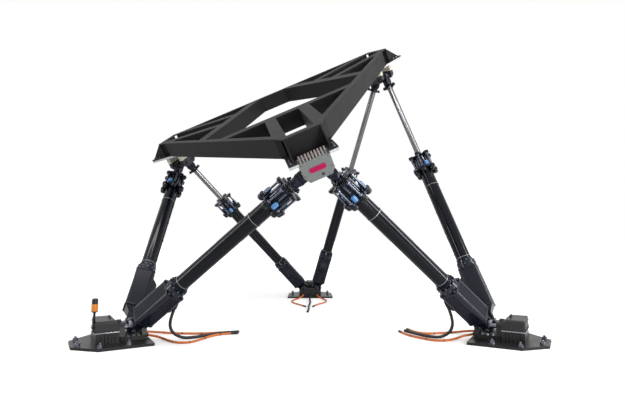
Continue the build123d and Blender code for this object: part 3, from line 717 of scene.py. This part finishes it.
# The object's sub-assemblies
@dataclass
class Leg:
    """One screw-driven leg: pieces on its cylinder and on its rod, by distance along it."""

    number: int
    base: Vector
    top: Vector
    direction: Vector
    clevis_pin: Vector
    fork_pin: Vector
    tube_radius: float = 0.090
    rod_radius: float = 0.044
    housing: Span = (0.180, 0.720)
    housing_half: float = 0.120
    collar_end: float = 0.800
    collar_radius: float = 0.122
    cage: Span = (2.300, 2.512)
    cage_top: float = 2.537
    flange_bottom: float = 2.274
    core_radius: float = 0.088
    lobe_circle: float = 0.136
    rod_length: float = 2.040
    rod_flange: Span = (0.210, 0.230)
    conduit_degrees: float = 262.0
    short_knob: float = 0.15
    clip_heights: tuple[float, ...] = (0.95, 1.28, 1.61, 1.94, 2.20)

    def cylinder_place(self) -> Matrix:
        """Local axes at the lower joint, z along the leg."""
        return axes_matrix(self.base, self.clevis_pin, self.direction)

    def rod_place(self) -> Matrix:
        """Local axes at the upper joint, z down the leg."""
        return axes_matrix(self.top, self.fork_pin, -self.direction)

    def add(self, piece: str, form: Form, finish: Finish, on_rod: bool = False) -> Any:
        """Adds a piece on the cylinder, or on the rod.

        Args:
            piece: The piece's name, without the leg's.
            form: Its form in the axes of that body.
            finish: Its finish.
            on_rod: Whether the piece moves with the rod.

        Returns:
            The piece's object.
        """
        place = self.rod_place() if on_rod else self.cylinder_place()
        body = f"leg{self.number}_rod_group" if on_rod else f"leg{self.number}_cylinder"
        return finish_piece(f"leg{self.number}_{piece}", form, place, finish, body)

    def dress_head(self) -> None:
        """Tie bars, knobs, buffer caps, core strips and bolts of the head cage.

        The knobs above the cage are short, because the rod's flange comes close to them.
        """
        low, high = self.cage
        middle = (low + high) / 2
        bar = round_bar(0.0135, (0, 0, low), (0, 0, high), 20)
        self.add("tie_bars", copied(bar, around(self.lobe_circle, 6)), BRIGHT_STEEL)
        collar = outline(0, 20, 20, 20, 24, 16, 24, 0, 0, 0)
        ends = [place for level in (low, high - 0.020) for place in around(self.lobe_circle, 6, 0.0, level)]
        self.add("tie_bar_collars", turned_copies(collar, 20, ends), ZINC)
        knob = outline(0, 56, 20, 56, 34, 48, 41, 32, 41, 8, 34, 0, 0, 0)
        short = [(radius, height * self.short_knob) for radius, height in knob]
        lower = flipped(around(self.lobe_circle, 6, 0.0, self.flange_bottom))
        upper = around(self.lobe_circle, 6, 0.0, self.cage_top)
        knobs = merged([turned_copies(knob, 24, lower), turned_copies(short, 24, upper)])
        self.add("knobs", knobs, KNOB_STEEL)
        cap = outline(0, 72, 16, 72, 26, 64, 29, 50, 29, 0, 0, 0)
        self.add("buffer_caps", turned_copies(cap, 24, around(0.142, 3, 30.0, low)), BLUE_CAP)
        strip = block_form((0.012, 0.020, high - low - 0.03), (0, 0, middle), 0.003)
        self.add("core_strips", copied(strip, around(self.core_radius + 0.004, 6, 30.0)), BRIGHT_STEEL)
        window = block_form((0.010, 0.046, 0.120), (0, 0, middle), 0.004)
        self.add("core_windows", copied(window, around(self.core_radius - 0.002, 6, 0.0)), DARK_STEEL)
        inner = bolts(Head.SOCKET, 0.009, 0.012, around(0.106, 12, 15.0, low))
        outer = bolts(Head.SOCKET, 0.009, 0.006, around(0.118, 12, 15.0, self.cage_top))
        self.add("cage_bolts", merged([inner, outer]), ZINC)
        seal = outline(62, 0, 62, 5, 58, 8, 46.5, 8, 46.5, 0, 62, 0)
        wiper = turned_form(seal, 40)
        bmesh.ops.translate(wiper, verts=wiper.verts, vec=(0, 0, self.cage_top))
        self.add("rod_wiper", wiper, BLACK_PLASTIC)

    def ring(self, height: float, width: float, proud: float) -> Form:
        """A thin ring round the tube.

        Args:
            height: Where it starts along the tube.
            width: Its width along the tube.
            proud: How far it stands out of the tube.

        Returns:
            The ring.
        """
        inner, outer = self.tube_radius - 0.001, self.tube_radius + proud
        outline = [(inner, 0.0), (outer, 0.0), (outer, width), (inner, width), (inner, 0.0)]
        form = turned_form(outline, 56)
        bmesh.ops.translate(form, verts=form.verts, vec=(0, 0, height))
        return form

    def dress_tube(self) -> None:
        """Pale rings, the slim conduit with its clamps, and the collar's bolts and clamp."""
        rings = merged([self.ring(2.004, 0.008, 0.0045), self.ring(0.862, 0.007, 0.003)])
        self.add("tube_rings", rings, PALE_RING)
        clamp = merged([self.ring(0.800, 0.030, 0.014), self.ring(0.836, 0.010, 0.008)])
        self.add("tube_clamp", clamp, DARK_STEEL)
        out = self.tube_radius + 0.0055
        turn = Matrix.Rotation(math.radians(self.conduit_degrees), 4, "Z")
        pipe = round_bar(0.007, (out, 0, 0.815), (out, 0, 2.262), 12)
        bmesh.ops.transform(pipe, matrix=turn, verts=pipe.verts)
        self.add("conduit", pipe, SEAM_STEEL)
        clips = [turn @ Matrix.Translation((out - 0.002, 0, height)) for height in self.clip_heights]
        clip = block_form((0.024, 0.030, 0.016), (0, 0, 0), 0.004)
        self.add("conduit_clips", copied(clip, clips), KNOB_STEEL)
        upright = bolts(Head.SOCKET, 0.009, 0.012, around(0.112, 10, 18.0, self.collar_end))
        sideways = bolts(Head.SOCKET, 0.007, 0.008, self.rim_places(0.760, 12))
        self.add("collar_bolts", merged([upright, sideways]), ZINC)
        fitting = outline(0, 0, 20, 0, 20, 30, 15, 36, 15, 60, 12, 66, 0, 66)
        spot = turn @ Matrix.Translation((out + 0.002, 0, self.collar_end))
        self.add("conduit_fitting", turned_copies(fitting, 20, [spot]), BRIGHT_STEEL)

    def rim_places(self, height: float, count: int) -> list[Matrix]:
        """Places on the collar's rim, each looking outwards.

        Args:
            height: Their height along the tube.
            count: The number of places.

        Returns:
            The places.
        """
        places = []
        for index in range(count):
            turn = Matrix.Rotation(math.tau * index / count, 4, "Z")
            places.append(turn @ facing((self.collar_radius - 0.001, 0, height), (1, 0, 0)))
        return places

    def dress_housing(self) -> None:
        """End plates with their bolts, the clevis pin caps, and the cable box lid."""
        start, end = self.housing
        half = self.housing_half + 0.004
        plates = []
        for low, thick in ((start, 0.018), (end - 0.020, 0.020)):
            plate = block_form((2 * half, 2 * half, thick), (0, 0, low + thick / 2), 0.0)
            upright = [e for e in plate.edges if abs(e.verts[0].co.z - e.verts[1].co.z) > thick / 2]
            round_edges(plate, upright, 0.044, 6)
            round_edges(plate, [edge for edge in plate.edges if edge.calc_face_angle() > 1.2], 0.003)
            plates.append(plate)
        self.add("housing_plates", merged(plates), HOUSING_ENAMEL)
        corner = half - 0.030
        spots = [(x, y) for x in (-corner, corner) for y in (-corner, corner)]
        heads = bolts(Head.SOCKET, 0.010, 0.014, [Matrix.Translation((x, y, end)) for x, y in spots])
        self.add("housing_bolts", heads, ZINC)
        cap = outline(0, 10, 26, 10, 30, 6, 30, 0, 0, 0)
        sides = [facing((side * 0.0764, 0, 0), (side, 0, 0)) for side in (-1, 1)]
        self.add("clevis_caps", turned_copies(cap, 28, sides), STEEL)
        screws = [side @ spot for side in sides for spot in around(0.020, 6, 0.0, 0.010)]
        self.add("clevis_screws", bolts(Head.SOCKET, 0.0035, 0.003, screws), ZINC)
        lid = block_form((0.104, 0.006, 0.118), (0, -0.1825, 0.495), 0.002)
        self.add("cable_box_lid", lid, DARK_STEEL)
        lid_screws = [facing((x, -0.1855, z), (0, -1, 0)) for x in (-0.044, 0.044) for z in (0.445, 0.545)]
        self.add("cable_box_screws", bolts(Head.SOCKET, 0.005, 0.004, lid_screws), ZINC)
        ribs = [Matrix.Translation((x, 0, 0)) for x in (-0.062, 0.062)]
        centre = (0, -self.housing_half - 0.002, (start + end) / 2)
        rib = block_form((0.016, 0.010, end - start - 0.060), centre, 0.003)
        self.add("housing_rails", copied(rib, ribs), HOUSING_ENAMEL)

    def dress_rod(self) -> None:
        """The polished rod and the dark rod end, in place of the plain node, with bolts and caps."""
        flange, flange_end = self.rod_flange
        rod = round_bar(self.rod_radius, (0, 0, flange_end), (0, 0, self.rod_length), 48)
        shaft = self.add("polished_rod", rod, CHROME, on_rod=True)
        node = f"leg{self.number}_rod"
        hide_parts(node)
        disc = [
            (0.0, flange), (0.073, flange), (0.076, flange + 0.003),
            (0.076, flange_end - 0.003), (0.073, flange_end), (0.0, flange_end),
        ]
        lobe = outline(0, 0, 31, 0, 34, 3, 34, 17, 31, 20, 0, 20)
        lobes = turned_copies(lobe, 28, around(0.076, 4, 45.0, flange))
        rod_end = [turned_form(disc, 48), lobes, self.rod_neck(flange)]
        rod_end.append(block_form((0.130, 0.076, 0.044), (0, 0, 0.096), 0.006))
        inner, outer = 0.0423, 0.065
        for side in (-1, 1):
            middle = side * (inner + outer) / 2
            rod_end.append(block_form((outer - inner, 0.076, 0.078), (middle, 0, 0.039), 0.003))
            rod_end.append(round_bar(0.038, (side * inner, 0, 0), (side * outer, 0, 0), 36, 0.003))
        fork = self.add("rod_end", merged(rod_end), DARK_STEEL, on_rod=True)
        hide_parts(node)
        corners = bolts(Head.HEX, 0.014, 0.018, flipped(around(0.086, 4, 45.0, flange)))
        rim = bolts(Head.SOCKET, 0.006, 0.008, flipped(around(0.066, 8, 22.5, flange)))
        self.add("rod_end_bolts", merged([corners, rim]), KNOB_STEEL, on_rod=True)
        caps = outline(0, 6, 22, 6, 26, 3, 26, 0, 0, 0)
        sides = [facing((side * 0.0655, 0, 0), (side, 0, 0)) for side in (-1, 1)]
        self.add("fork_caps", turned_copies(caps, 24, sides), STEEL, on_rod=True)

    def rod_neck(self, flange: float) -> Form:
        """The neck that goes from the fork's oblong block to the round flange.

        Args:
            flange: The distance of the flange from the joint's centre.

        Returns:
            The neck.
        """
        block_end = 0.118
        neck = bmesh.new()
        bmesh.ops.create_cube(neck, size=1.0)
        bmesh.ops.subdivide_edges(neck, edges=neck.edges[:], cuts=5, use_grid_fill=True)
        for vert in neck.verts:
            down = vert.co.z + 0.5
            square = Vector((vert.co.x * 0.130, vert.co.y * 0.080, 0))
            flat = Vector((vert.co.x, vert.co.y, 0))
            reach = max(abs(vert.co.x), abs(vert.co.y)) * 2
            circle = flat.normalized() * 0.056 * reach if flat.length else flat
            blend = down * down * (3 - 2 * down)
            place = square.lerp(circle, blend)
            vert.co = Vector((place.x, place.y, block_end + down * (flange - block_end)))
        return neck

    def dress_all(self) -> None:
        """Adds every piece of the leg."""
        self.dress_head()
        self.dress_tube()
        self.dress_housing()
        self.dress_rod()


@dataclass
class Foot:
    """One foot: pieces on its plate, pedestal and drive cabinet, x outwards and z up."""

    name: str
    azimuth: float
    joint_radius: float = 2.5
    half_spacing: float = 0.128
    joint_height: float = 0.183
    ear_outer: float = 0.150
    anchors: tuple[Span, ...] = ((3.080, 0.150), (2.870, 0.360), (2.570, 0.355))
    plate_top: float = 0.030
    cabinet: Span = (2.655, 2.905)
    cabinet_half: float = 0.220
    lip: Span = (0.145, 0.160)
    cabinet_top: float = 0.280

    def place(self) -> Matrix:
        """The foot's axes.

        Returns:
            The place, with x outwards and z up.
        """
        angle = math.radians(self.azimuth)
        outwards = Vector((math.cos(angle), math.sin(angle), 0))
        return axes_matrix(Vector((0, 0, 0)), outwards, Vector((0, 0, 1)))

    def add(self, piece: str, form: Form, finish: Finish) -> Any:
        """Adds a piece on the base."""
        return finish_piece(f"{self.name}_{piece}", form, self.place(), finish, "base")

    def dress_plate(self) -> None:
        """Anchor studs, pedestal bolts and the weld bead round the pedestal."""
        stud = outline(0, 50, 10, 50, 13.5, 46, 13.5, 0.5, 0, 0.5)
        spots = [
            Matrix.Translation((r, side * t, self.plate_top)) for r, t in self.anchors for side in (-1, 1)
        ]
        self.add("anchor_studs", turned_copies(stud, 16, spots), STEEL)
        heads = [
            Matrix.Translation((self.joint_radius + x, y, 0.088))
            for x in (-0.060, 0.0, 0.060)
            for y in (-0.185, 0.185)
        ]
        self.add("pedestal_bolts", bolts(Head.HEX, 0.016, 0.014, heads), ZINC)
        low, high = self.joint_radius - self.ear_outer, self.joint_radius + self.ear_outer
        corners = [(low, -0.2), (high, -0.2), (high, 0.2), (low, 0.2), (low, -0.2)]
        height = self.plate_top + 0.003
        beads = [weld_bead((*a, height), (*b, height), 0.005) for a, b in zip(corners, corners[1:])]
        self.add("pedestal_welds", merged(beads), PLATE_COAT)

    def dress_pedestal(self) -> None:
        """Bearing caps with their screws over the trunnion bores."""
        inner_face = self.joint_radius - self.ear_outer
        places = [
            facing((inner_face, side * self.half_spacing, self.joint_height), (-1, 0, 0)) for side in (-1, 1)
        ]
        screws = [place @ spot for place in places for spot in around(0.032, 6, 0.0, 0.010)]
        cap = outline(0, 12, 20, 12, 24, 10, 36, 10, 40, 6, 40, 0, 0, 0)
        self.add("bearing_caps", turned_copies(cap, 32, places), DARK_STEEL)
        self.add("bearing_screws", bolts(Head.SOCKET, 0.0045, 0.005, screws), ZINC)

    def dress_cabinet(self) -> None:
        """Bright lip band, end panel, screws and handle."""
        low, high = self.cabinet
        outer, half = high + 0.010, self.cabinet_half + 0.010
        thick, tall, edge = 0.003, 0.011, 0.0008
        level = sum(self.lip) / 2
        bands = [
            block_form(
                (outer - low, thick, tall), ((outer + low) / 2, side * (half + thick / 2), level), edge
            )
            for side in (-1, 1)
        ]
        bands.append(block_form((thick, 2 * half, tall), (outer + thick / 2, 0, level), edge))
        self.add("cabinet_band", merged(bands), CABINET_LIP)
        top = self.cabinet_top
        middle = (self.lip[1] + top) / 2 - 0.006
        panel = block_form((0.005, 2 * half - 0.080, 0.084), (high + 0.0025, 0, middle), 0.0015)
        self.add("cabinet_end_panel", panel, CABINET_GREY)
        screws = [
            facing((high + 0.005, y, middle + z), (1, 0, 0))
            for y in (-0.170, 0.0, 0.170)
            for z in (-0.032, 0.032)
        ]
        screws += [
            Matrix.Translation((x, y, top)) for x in (low + 0.075, high - 0.020) for y in (-0.170, 0.170)
        ]
        self.add("cabinet_screws", bolts(Head.SOCKET, 0.006, 0.005, screws), ZINC)
        grip, thin = 2.74, 0.006
        lift = top + 0.026
        handle = [round_bar(thin, (grip, y, top), (grip, y, lift), 12) for y in (-0.060, 0.060)]
        handle.append(round_bar(thin, (grip, -0.066, lift), (grip, 0.066, lift), 12, 0.002))
        self.add("cabinet_handle", merged(handle), DARK_STEEL)

    def dress_all(self) -> None:
        """Adds every piece of the foot."""
        self.dress_plate()
        self.dress_pedestal()
        self.dress_cabinet()


@dataclass
class SignalLamp:
    """Foot flange, lens ribs and seat of the lamp on the left cabinet."""

    place: Matrix
    centre: Span = (2.9178, 0.120)
    lens_bottom: float = 0.390
    lip_top: float = 0.160

    def dress_all(self) -> None:
        """Adds the lamp's pieces."""
        x, y = self.centre
        low = self.lens_bottom
        rib = outline(34.5, 0, 36.5, 1, 36.5, 3, 34.5, 4, 34.5, 0)
        seat = outline(0, -18, 16, -18, 30, -10, 37, -4, 37, 0, 0, 0)
        foot = outline(0, 8, 22, 8, 28, 4, 28, 0, 0, 0)
        levels = [low + 0.006 + 0.0115 * index for index in range(6)]
        for name, profile, segments, heights, finish in (
            ("beacon_lens_ribs", rib, 32, levels, AMBER),
            ("beacon_seat", seat, 32, [low], BLACK_PLASTIC),
            ("beacon_foot", foot, 28, [self.lip_top], BLACK_PLASTIC),
        ):
            spots = [Matrix.Translation((x, y, height)) for height in heights]
            finish_piece(name, turned_copies(profile, segments, spots), self.place, finish, "base")


@dataclass
class Corner:
    """One corner of the platform: pieces on its bracket, adapter plate and corner box."""

    name: str
    place: Matrix
    joint_radius: float = 2.100
    half_spacing: float = 0.090
    ear_outer: float = 0.150
    bracket: Span = (1.860, 2.268)
    plate_bottom: float = 0.162
    flange_top: float = 0.2375
    nose: Span = (2.200, 0.210)

    def add(self, piece: str, form: Form, finish: Finish) -> Any:
        """Adds a piece on the platform."""
        return finish_piece(f"{self.name}_{piece}", form, self.place, finish, "platform")

    def dress_all(self) -> None:
        """Bearing caps on the ears, bracket and flange bolts, and weld beads."""
        caps = [
            facing((self.joint_radius + reach * self.ear_outer, side * self.half_spacing, 0.0), (reach, 0, 0))
            for side in (-1, 1)
            for reach in (-1, 1)
        ]
        screws = [cap @ spot for cap in caps for spot in around(0.031, 6, 0.0, 0.006)]
        disc = outline(0, 8, 18, 8, 22, 6, 36, 6, 39, 3, 39, 0, 0, 0)
        self.add("ear_caps", turned_copies(disc, 32, caps), DARK_STEEL)
        self.add("ear_cap_screws", bolts(Head.SOCKET, 0.0045, 0.004, screws), ZINC)
        low, high = self.bracket
        under = [
            facing((x, y, self.plate_bottom), (0, 0, -1))
            for x in (low + 0.030, (low + high) / 2, high - 0.030)
            for y in (-0.130, 0.130)
        ]
        inner = [facing((x, 0.0, self.plate_bottom), (0, 0, -1)) for x in (2.03, 2.10, 2.17)]
        self.add("bracket_bolts", bolts(Head.HEX, 0.015, 0.014, under + inner), ZINC)
        ears = [
            Matrix.Translation((x, y, self.flange_top))
            for x in (2.285, 2.345, 2.400)
            for y in (-0.228, 0.228)
        ]
        self.add("flange_bolts", bolts(Head.HEX, 0.013, 0.012, ears), ZINC)
        nose_r, nose_t = self.nose
        base = self.flange_top + 0.002
        beads = [weld_bead((nose_r + 0.002, -nose_t, base), (nose_r + 0.002, nose_t, base), 0.005)]
        for side in (-1, 1):
            at = side * 0.205
            beads.append(weld_bead((nose_r + 0.004, at, base), (2.410, at, base), 0.004))
        self.add("nose_welds", merged(beads), FRAME_COAT)


@dataclass
class FrontHood:
    """Bare badge plate, louvres, screws and port of the hood on the front corner."""

    place: Matrix
    outer: float = 2.400
    top: float = 0.200

    def dress_all(self) -> None:
        """Adds the hood's pieces."""
        badge = block_form((0.004, 0.176, 0.054), (0, 0, 0), 0.0)
        corners = [edge for edge in badge.edges if abs(edge.verts[0].co.x - edge.verts[1].co.x) > 0.002]
        round_edges(badge, corners, 0.020, 6)
        centre = Matrix.Translation((self.outer + 0.002, 0.0, 0.095))
        finish_piece("hood_badge", badge, self.place @ centre, BADGE, "platform")
        lean = Matrix.Rotation(math.radians(-28.0), 4, "Y")
        louvres = [
            Matrix.Translation((self.outer - 0.030, y * 0.034, self.top + 0.030)) @ lean for y in range(-4, 5)
        ]
        fin = block_form((0.014, 0.019, 0.086), (0, 0, 0), 0.003)
        finish_piece("hood_louvres", copied(fin, louvres), self.place, PALE_FIN, "platform")
        spots = ((0.145, 0.180), (0.145, 0.060), (0.095, -0.004))
        screws = [facing((self.outer, side * y, z), (1, 0, 0)) for y, z in spots for side in (-1, 1)]
        heads = bolts(Head.SOCKET, 0.006, 0.005, screws)
        finish_piece("hood_screws", heads, self.place, ZINC, "platform")
        port = outline(0, 4, 8, 4, 10, 6, 14, 6, 15, 3, 15, 0, 0, 0)
        spot = facing((self.outer, 0.030, 0.018), (1, 0, 0))
        form = turned_copies(port, 20, [spot])
        finish_piece("hood_ports", form, self.place, BLACK_PLASTIC, "platform")


@dataclass
class FloorCord:
    """A cable or hose laid along given points, with the plug on its floor end.

    points are in millimetres; one without a height lies on the floor, at floor_height.
    """

    name: str
    points: Sequence[tuple[float, ...]]
    length: float
    radius: float
    floor_height: float
    finish: CordFinish

    def build(self) -> None:
        """Makes the cord and its plug, and hides their plain nodes."""
        curve = bpy.data.curves.new(self.name + "_line", "CURVE")
        curve.dimensions = "3D"
        spline = curve.splines.new("NURBS")
        points = [Vector((*point, self.floor_height)[:3]) / 1000 for point in self.points]
        spline.points.add(len(points) - 1)
        for control, point in zip(spline.points, points):
            control.co = (*point, 1.0)
        spline.order_u = 3
        spline.use_endpoint_u = True
        spline.resolution_u = 16
        curve.bevel_depth = self.radius
        curve.bevel_resolution = 5
        curve.use_fill_caps = True
        curve.materials.append(self.finish.material(self.length))
        piece = bpy.data.objects.new(self.name + "_line", curve)
        bpy.context.scene.collection.objects.link(piece)
        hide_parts(self.name)
        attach(piece, "base")
        before, end = points[-2:]
        grip = self.radius + 0.0003
        groove = grip - 0.002
        body = [
            (0.0, 0.0), (self.radius, 0.0), (self.radius, 0.022), (grip, 0.026), (grip, 0.034),
            (groove, 0.036), (groove, 0.044), (grip, 0.046), (grip, 0.086), (grip - 0.003, 0.090),
            (0.0, 0.090),
        ]
        place = facing(tuple(end), tuple(end - before))
        plug = finish_piece(self.name + "_plug", turned_form(body, 28), place, BLACK_PLASTIC, "base")
        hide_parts("cord_plugs")


# Height of the sockets on the pedestals in millimetres, and radius, lying height and jacket of each kind
SOCKET_HIGH = 62.0
HOSE, CABLE = (0.018, 18.3, HOSE_JACKET), (0.014, 14.3, ORANGE_JACKET)
FLOOR_CORDS = (
    FloorCord("left_hose", [
        (-1617, -1359, 387), (-1678, -1342, 250), (-1672, -1292, 105), (-1565, -1226),
        (-1425, -1205), (-1300, -1080), (-1170, -970), (-1010, -912),
    ], 1.094, *HOSE),
    FloorCord("left_upper_cable", [
        (-2093, -1058, SOCKET_HIGH), (-1960, -985, 40), (-1780, -930), (-1540, -965),
        (-1320, -955), (-1150, -900), (-1010, -862),
    ], 1.125, *CABLE),
    FloorCord("left_lower_cable", [
        (-1983, -1249, SOCKET_HIGH), (-1885, -1207, 40), (-1765, -1250), (-1660, -1370),
        (-1540, -1462), (-1400, -1440), (-1320, -1300),
        (-1235, -1110), (-1135, -1000), (-1010, -965),
    ], 1.311, *CABLE),
    FloorCord("right_hose", [
        (1628, -1360, 402), (1690, -1340, 260), (1688, -1290, 108), (1590, -1226),
        (1450, -1200), (1335, -1055), (1255, -910),
    ], 0.936, *HOSE),
    FloorCord("right_upper_cable", [
        (2093, -1058, SOCKET_HIGH), (1965, -975, 40), (1800, -940), (1640, -970),
        (1500, -1005), (1400, -975), (1330, -900), (1295, -800),
    ], 0.935, *CABLE),
    FloorCord("right_lower_cable", [
        (1983, -1249, SOCKET_HIGH), (1885, -1207, 40), (1765, -1250), (1675, -1335),
        (1560, -1390), (1435, -1365), (1350, -1270),
        (1255, -1165), (1190, -1040), (1160, -930),
    ], 1.125, *CABLE),
    FloorCord("rear_left_cable", [
        (-130, 2342, SOCKET_HIGH), (-150, 2240, 40), (-260, 2090), (-340, 1900),
        (-340, 1700), (-275, 1540), (-190, 1400), (-120, 1260),
    ], 1.186, *CABLE),
    FloorCord("rear_right_cable", [
        (130, 2342, SOCKET_HIGH), (150, 2240, 40), (250, 2090), (310, 1900),
        (290, 1700), (210, 1550), (120, 1410), (70, 1260),
    ], 1.175, *CABLE),
    FloorCord("rear_hose", [
        (0, 2342, SOCKET_HIGH), (5, 2200, 42), (-12, 1960), (5, 1700),
        (-14, 1420), (-30, 1150), (-27, 900), (-40, 719),
    ], 1.627, *HOSE),
)


@dataclass
class Studio:
    """Floor, lamps, world and camera."""

    position: Point = (-0.0330, -7.0173, 1.2776)
    pitch_up: float = 0.10435
    yaw: float = -0.01139
    focal_px: float = 466.12
    centre_px: Span = (313.88, 183.87)
    image_px: Span = (625.0, 415.0)
    sensor_mm: float = 36.0
    floor_fade: Span = (4.0, 9.0)

    def place_camera(self) -> None:
        """Sets the camera at the photograph's viewing angle."""
        data = bpy.data.cameras.new("camera")
        width, height = self.image_px
        data.sensor_width = self.sensor_mm
        data.lens = self.focal_px / width * self.sensor_mm
        data.shift_x = (width / 2 - self.centre_px[0]) / width
        data.shift_y = (self.centre_px[1] - height / 2) / width
        data.clip_end = 200.0
        camera = bpy.data.objects.new("camera", data)
        camera.location = self.position
        camera.rotation_euler = (math.pi / 2 + self.pitch_up, 0.0, self.yaw)
        bpy.context.scene.collection.objects.link(camera)
        bpy.context.scene.camera = camera

    def lay_floor(self) -> None:
        """A large pale floor that keeps the shadows and fades to white far out."""
        form = bmesh.new()
        bmesh.ops.create_grid(form, x_segments=1, y_segments=1, size=60.0)
        mesh = bpy.data.meshes.new("floor")
        form.to_mesh(mesh)
        form.free()
        material, tree, shader = new_material("pale_floor")
        shader.inputs["Base Color"].default_value = linear("#f4f4f4")
        shader.inputs["Roughness"].default_value = 0.9
        path = add_node(tree, "LightPath", {}, {})
        place = add_node(tree, "TexCoord", {}, {}).outputs["Object"]
        reach = add_node(tree, "VectorMath", {"operation": "LENGTH"}, {0: place})
        near, far = self.floor_fade
        settings = {"From Min": near, "From Max": far, "To Min": SOFT_LIGHT, "To Max": 1.0}
        fade = add_node(tree, "MapRange", settings, {"Value": reach.outputs["Value"]})
        glow = add_maths(tree, "MULTIPLY", path.outputs["Is Camera Ray"], fade.outputs["Result"])
        shader.inputs["Emission Color"].default_value = linear("#ffffff")
        tree.links.new(glow, shader.inputs["Emission Strength"])
        mesh.materials.append(material)
        floor = bpy.data.objects.new("floor", mesh)
        floor.location = (0.0, 0.0, -0.001)
        bpy.context.scene.collection.objects.link(floor)

    def light_world(self) -> None:
        """White where the camera and mirrors look, softer as light."""
        world = bpy.data.worlds.new("studio")
        bpy.context.scene.world = world
        world.use_nodes = True
        tree = world.node_tree
        back = tree.nodes["Background"]
        back.inputs["Color"].default_value = linear("#ffffff")
        path = add_node(tree, "LightPath", {}, {})
        rays = [path.outputs[f"Is {kind} Ray"] for kind in ("Glossy", "Transmission", "Camera")]
        clear = add_maths(tree, "MAXIMUM", rays[0], rays[1])
        seen = add_maths(tree, "MAXIMUM", rays[2], clear)
        settings = {"To Min": SOFT_LIGHT, "To Max": 1.0}
        strength = add_node(tree, "MapRange", settings, {"Value": seen})
        tree.links.new(strength.outputs["Result"], back.inputs["Strength"])

    def hang_lamps(self) -> None:
        """Upright strip lamps left and right, one across the top, and a soft one in front."""
        for name, place, aim, size, power in (
            ("key", (8.0, -3.5, 3.6), (0, -1, 1.8), (1.0, 6.0), 420.0),
            ("fill", (-8.0, -3.5, 3.6), (0, -1, 1.8), (0.8, 6.0), 190.0),
            ("front", (5.0, -8.0, 2.2), (0, -1, 2.0), (2.4, 2.4), 340.0),
            ("top", (0.0, -2.2, 8.0), (0, 0, 1.5), (12.0, 0.6), 250.0),
        ):
            data = bpy.data.lights.new(name, "AREA")
            data.shape = "RECTANGLE"
            data.size, data.size_y = size
            data.energy = power
            lamp = bpy.data.objects.new(name, data)
            lamp.location = place
            lamp.rotation_euler = (Vector(aim) - Vector(place)).to_track_quat("-Z", "Y").to_euler()
            bpy.context.scene.collection.objects.link(lamp)

    def build(self) -> None:
        """Sets the whole studio."""
        bpy.context.scene.view_settings.view_transform = "Standard"
        self.place_camera()
        self.lay_floor()
        self.light_world()
        self.hang_lamps()


@dataclass
class MotionBase:
    """The whole machine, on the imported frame."""

    frame: dict[str, Any]
    legs: list[Leg] = field(default_factory=list)
    frame_top: float = 0.447
    mask_height: float = 0.070

    def finish_nodes(self) -> None:
        """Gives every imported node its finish, apart from the brackets' masked one."""
        for name, node in self.frame["nodes"].items():
            if name == "joint_brackets":
                continue
            key = name.split("_", 1)[1] if name.startswith("leg") else name
            finish = NODE_FINISHES.get(key, BLACK_PLASTIC)
            node.data.materials.clear()
            node.data.materials.append(finish.material())

    def read_legs(self) -> None:
        """Takes each leg's joint places from the record."""
        joints = {joint["name"]: joint for joint in self.frame["record"]["behaviour"]["joints"]}
        for number in range(1, 7):
            self.legs.append(
                Leg(
                    number,
                    base=Vector(joints[f"leg{number}_swing"]["pos_m"]),
                    top=Vector(joints[f"leg{number}_roll"]["pos_m"]),
                    direction=Vector(joints[f"leg{number}_extend"]["axis"]),
                    clevis_pin=Vector(joints[f"leg{number}_lean"]["axis"]),
                    fork_pin=Vector(joints[f"leg{number}_roll"]["axis"]),
                )
            )

    def mask_brackets(self) -> None:
        """Gives the joint brackets their pale channel and dark ears."""
        place = self.corner_places()["front"]
        normal = place.to_3x3() @ Vector((0, 0, 1))
        edge = place @ Vector((0, 0, self.mask_height))
        finish = replace(CREAM_PRIMER, normal=tuple(normal), below_height=normal.dot(edge))
        slots = self.frame["nodes"]["joint_brackets"].data.materials
        slots.clear()
        slots.append(finish.material())

    def corner_places(self) -> dict[str, Matrix]:
        """Each corner's axes from the record's payload pads.

        Returns:
            The place of each corner by its name, with x outwards and z square to the platform.
        """
        mounts = {mount["name"]: mount for mount in self.frame["record"]["mounts"]}
        pads = {name: mounts[f"{name}_payload_pad"] for name in ("front", "right_rear", "left_rear")}
        normal = Vector(pads["front"]["axis"]).normalized()
        points = {name: Vector(pad["pos_m"]) - normal * self.frame_top for name, pad in pads.items()}
        centre = sum(points.values(), Vector()) / 3
        return {
            name: axes_matrix(centre, (point - centre).normalized(), normal) for name, point in points.items()
        }

    def build(self) -> None:
        """Dresses the machine, cords first."""
        self.finish_nodes()
        self.mask_brackets()
        for cord in FLOOR_CORDS:
            cord.build()
            LOG.info("%s laid", cord.name)
        self.read_legs()
        for leg in self.legs:
            leg.dress_all()
            LOG.info("leg %d dressed", leg.number)
        for name, azimuth in (("rear_foot", 90.0), ("left_foot", 210.0), ("right_foot", 330.0)):
            foot = Foot(name, azimuth)
            foot.dress_all()
            LOG.info("%s dressed", name)
            if name == "left_foot":
                SignalLamp(foot.place()).dress_all()
        for name, place in self.corner_places().items():
            Corner(name, place).dress_all()
            LOG.info("%s corner dressed", name)
            if name == "front":
                FrontHood(place).dress_all()


def main() -> None:
    """Builds the studio and the machine."""
    logging.basicConfig(level=logging.INFO)
    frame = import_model()
    Studio().build()
    MotionBase(frame).build()


if __name__ == "__main__":
    main()
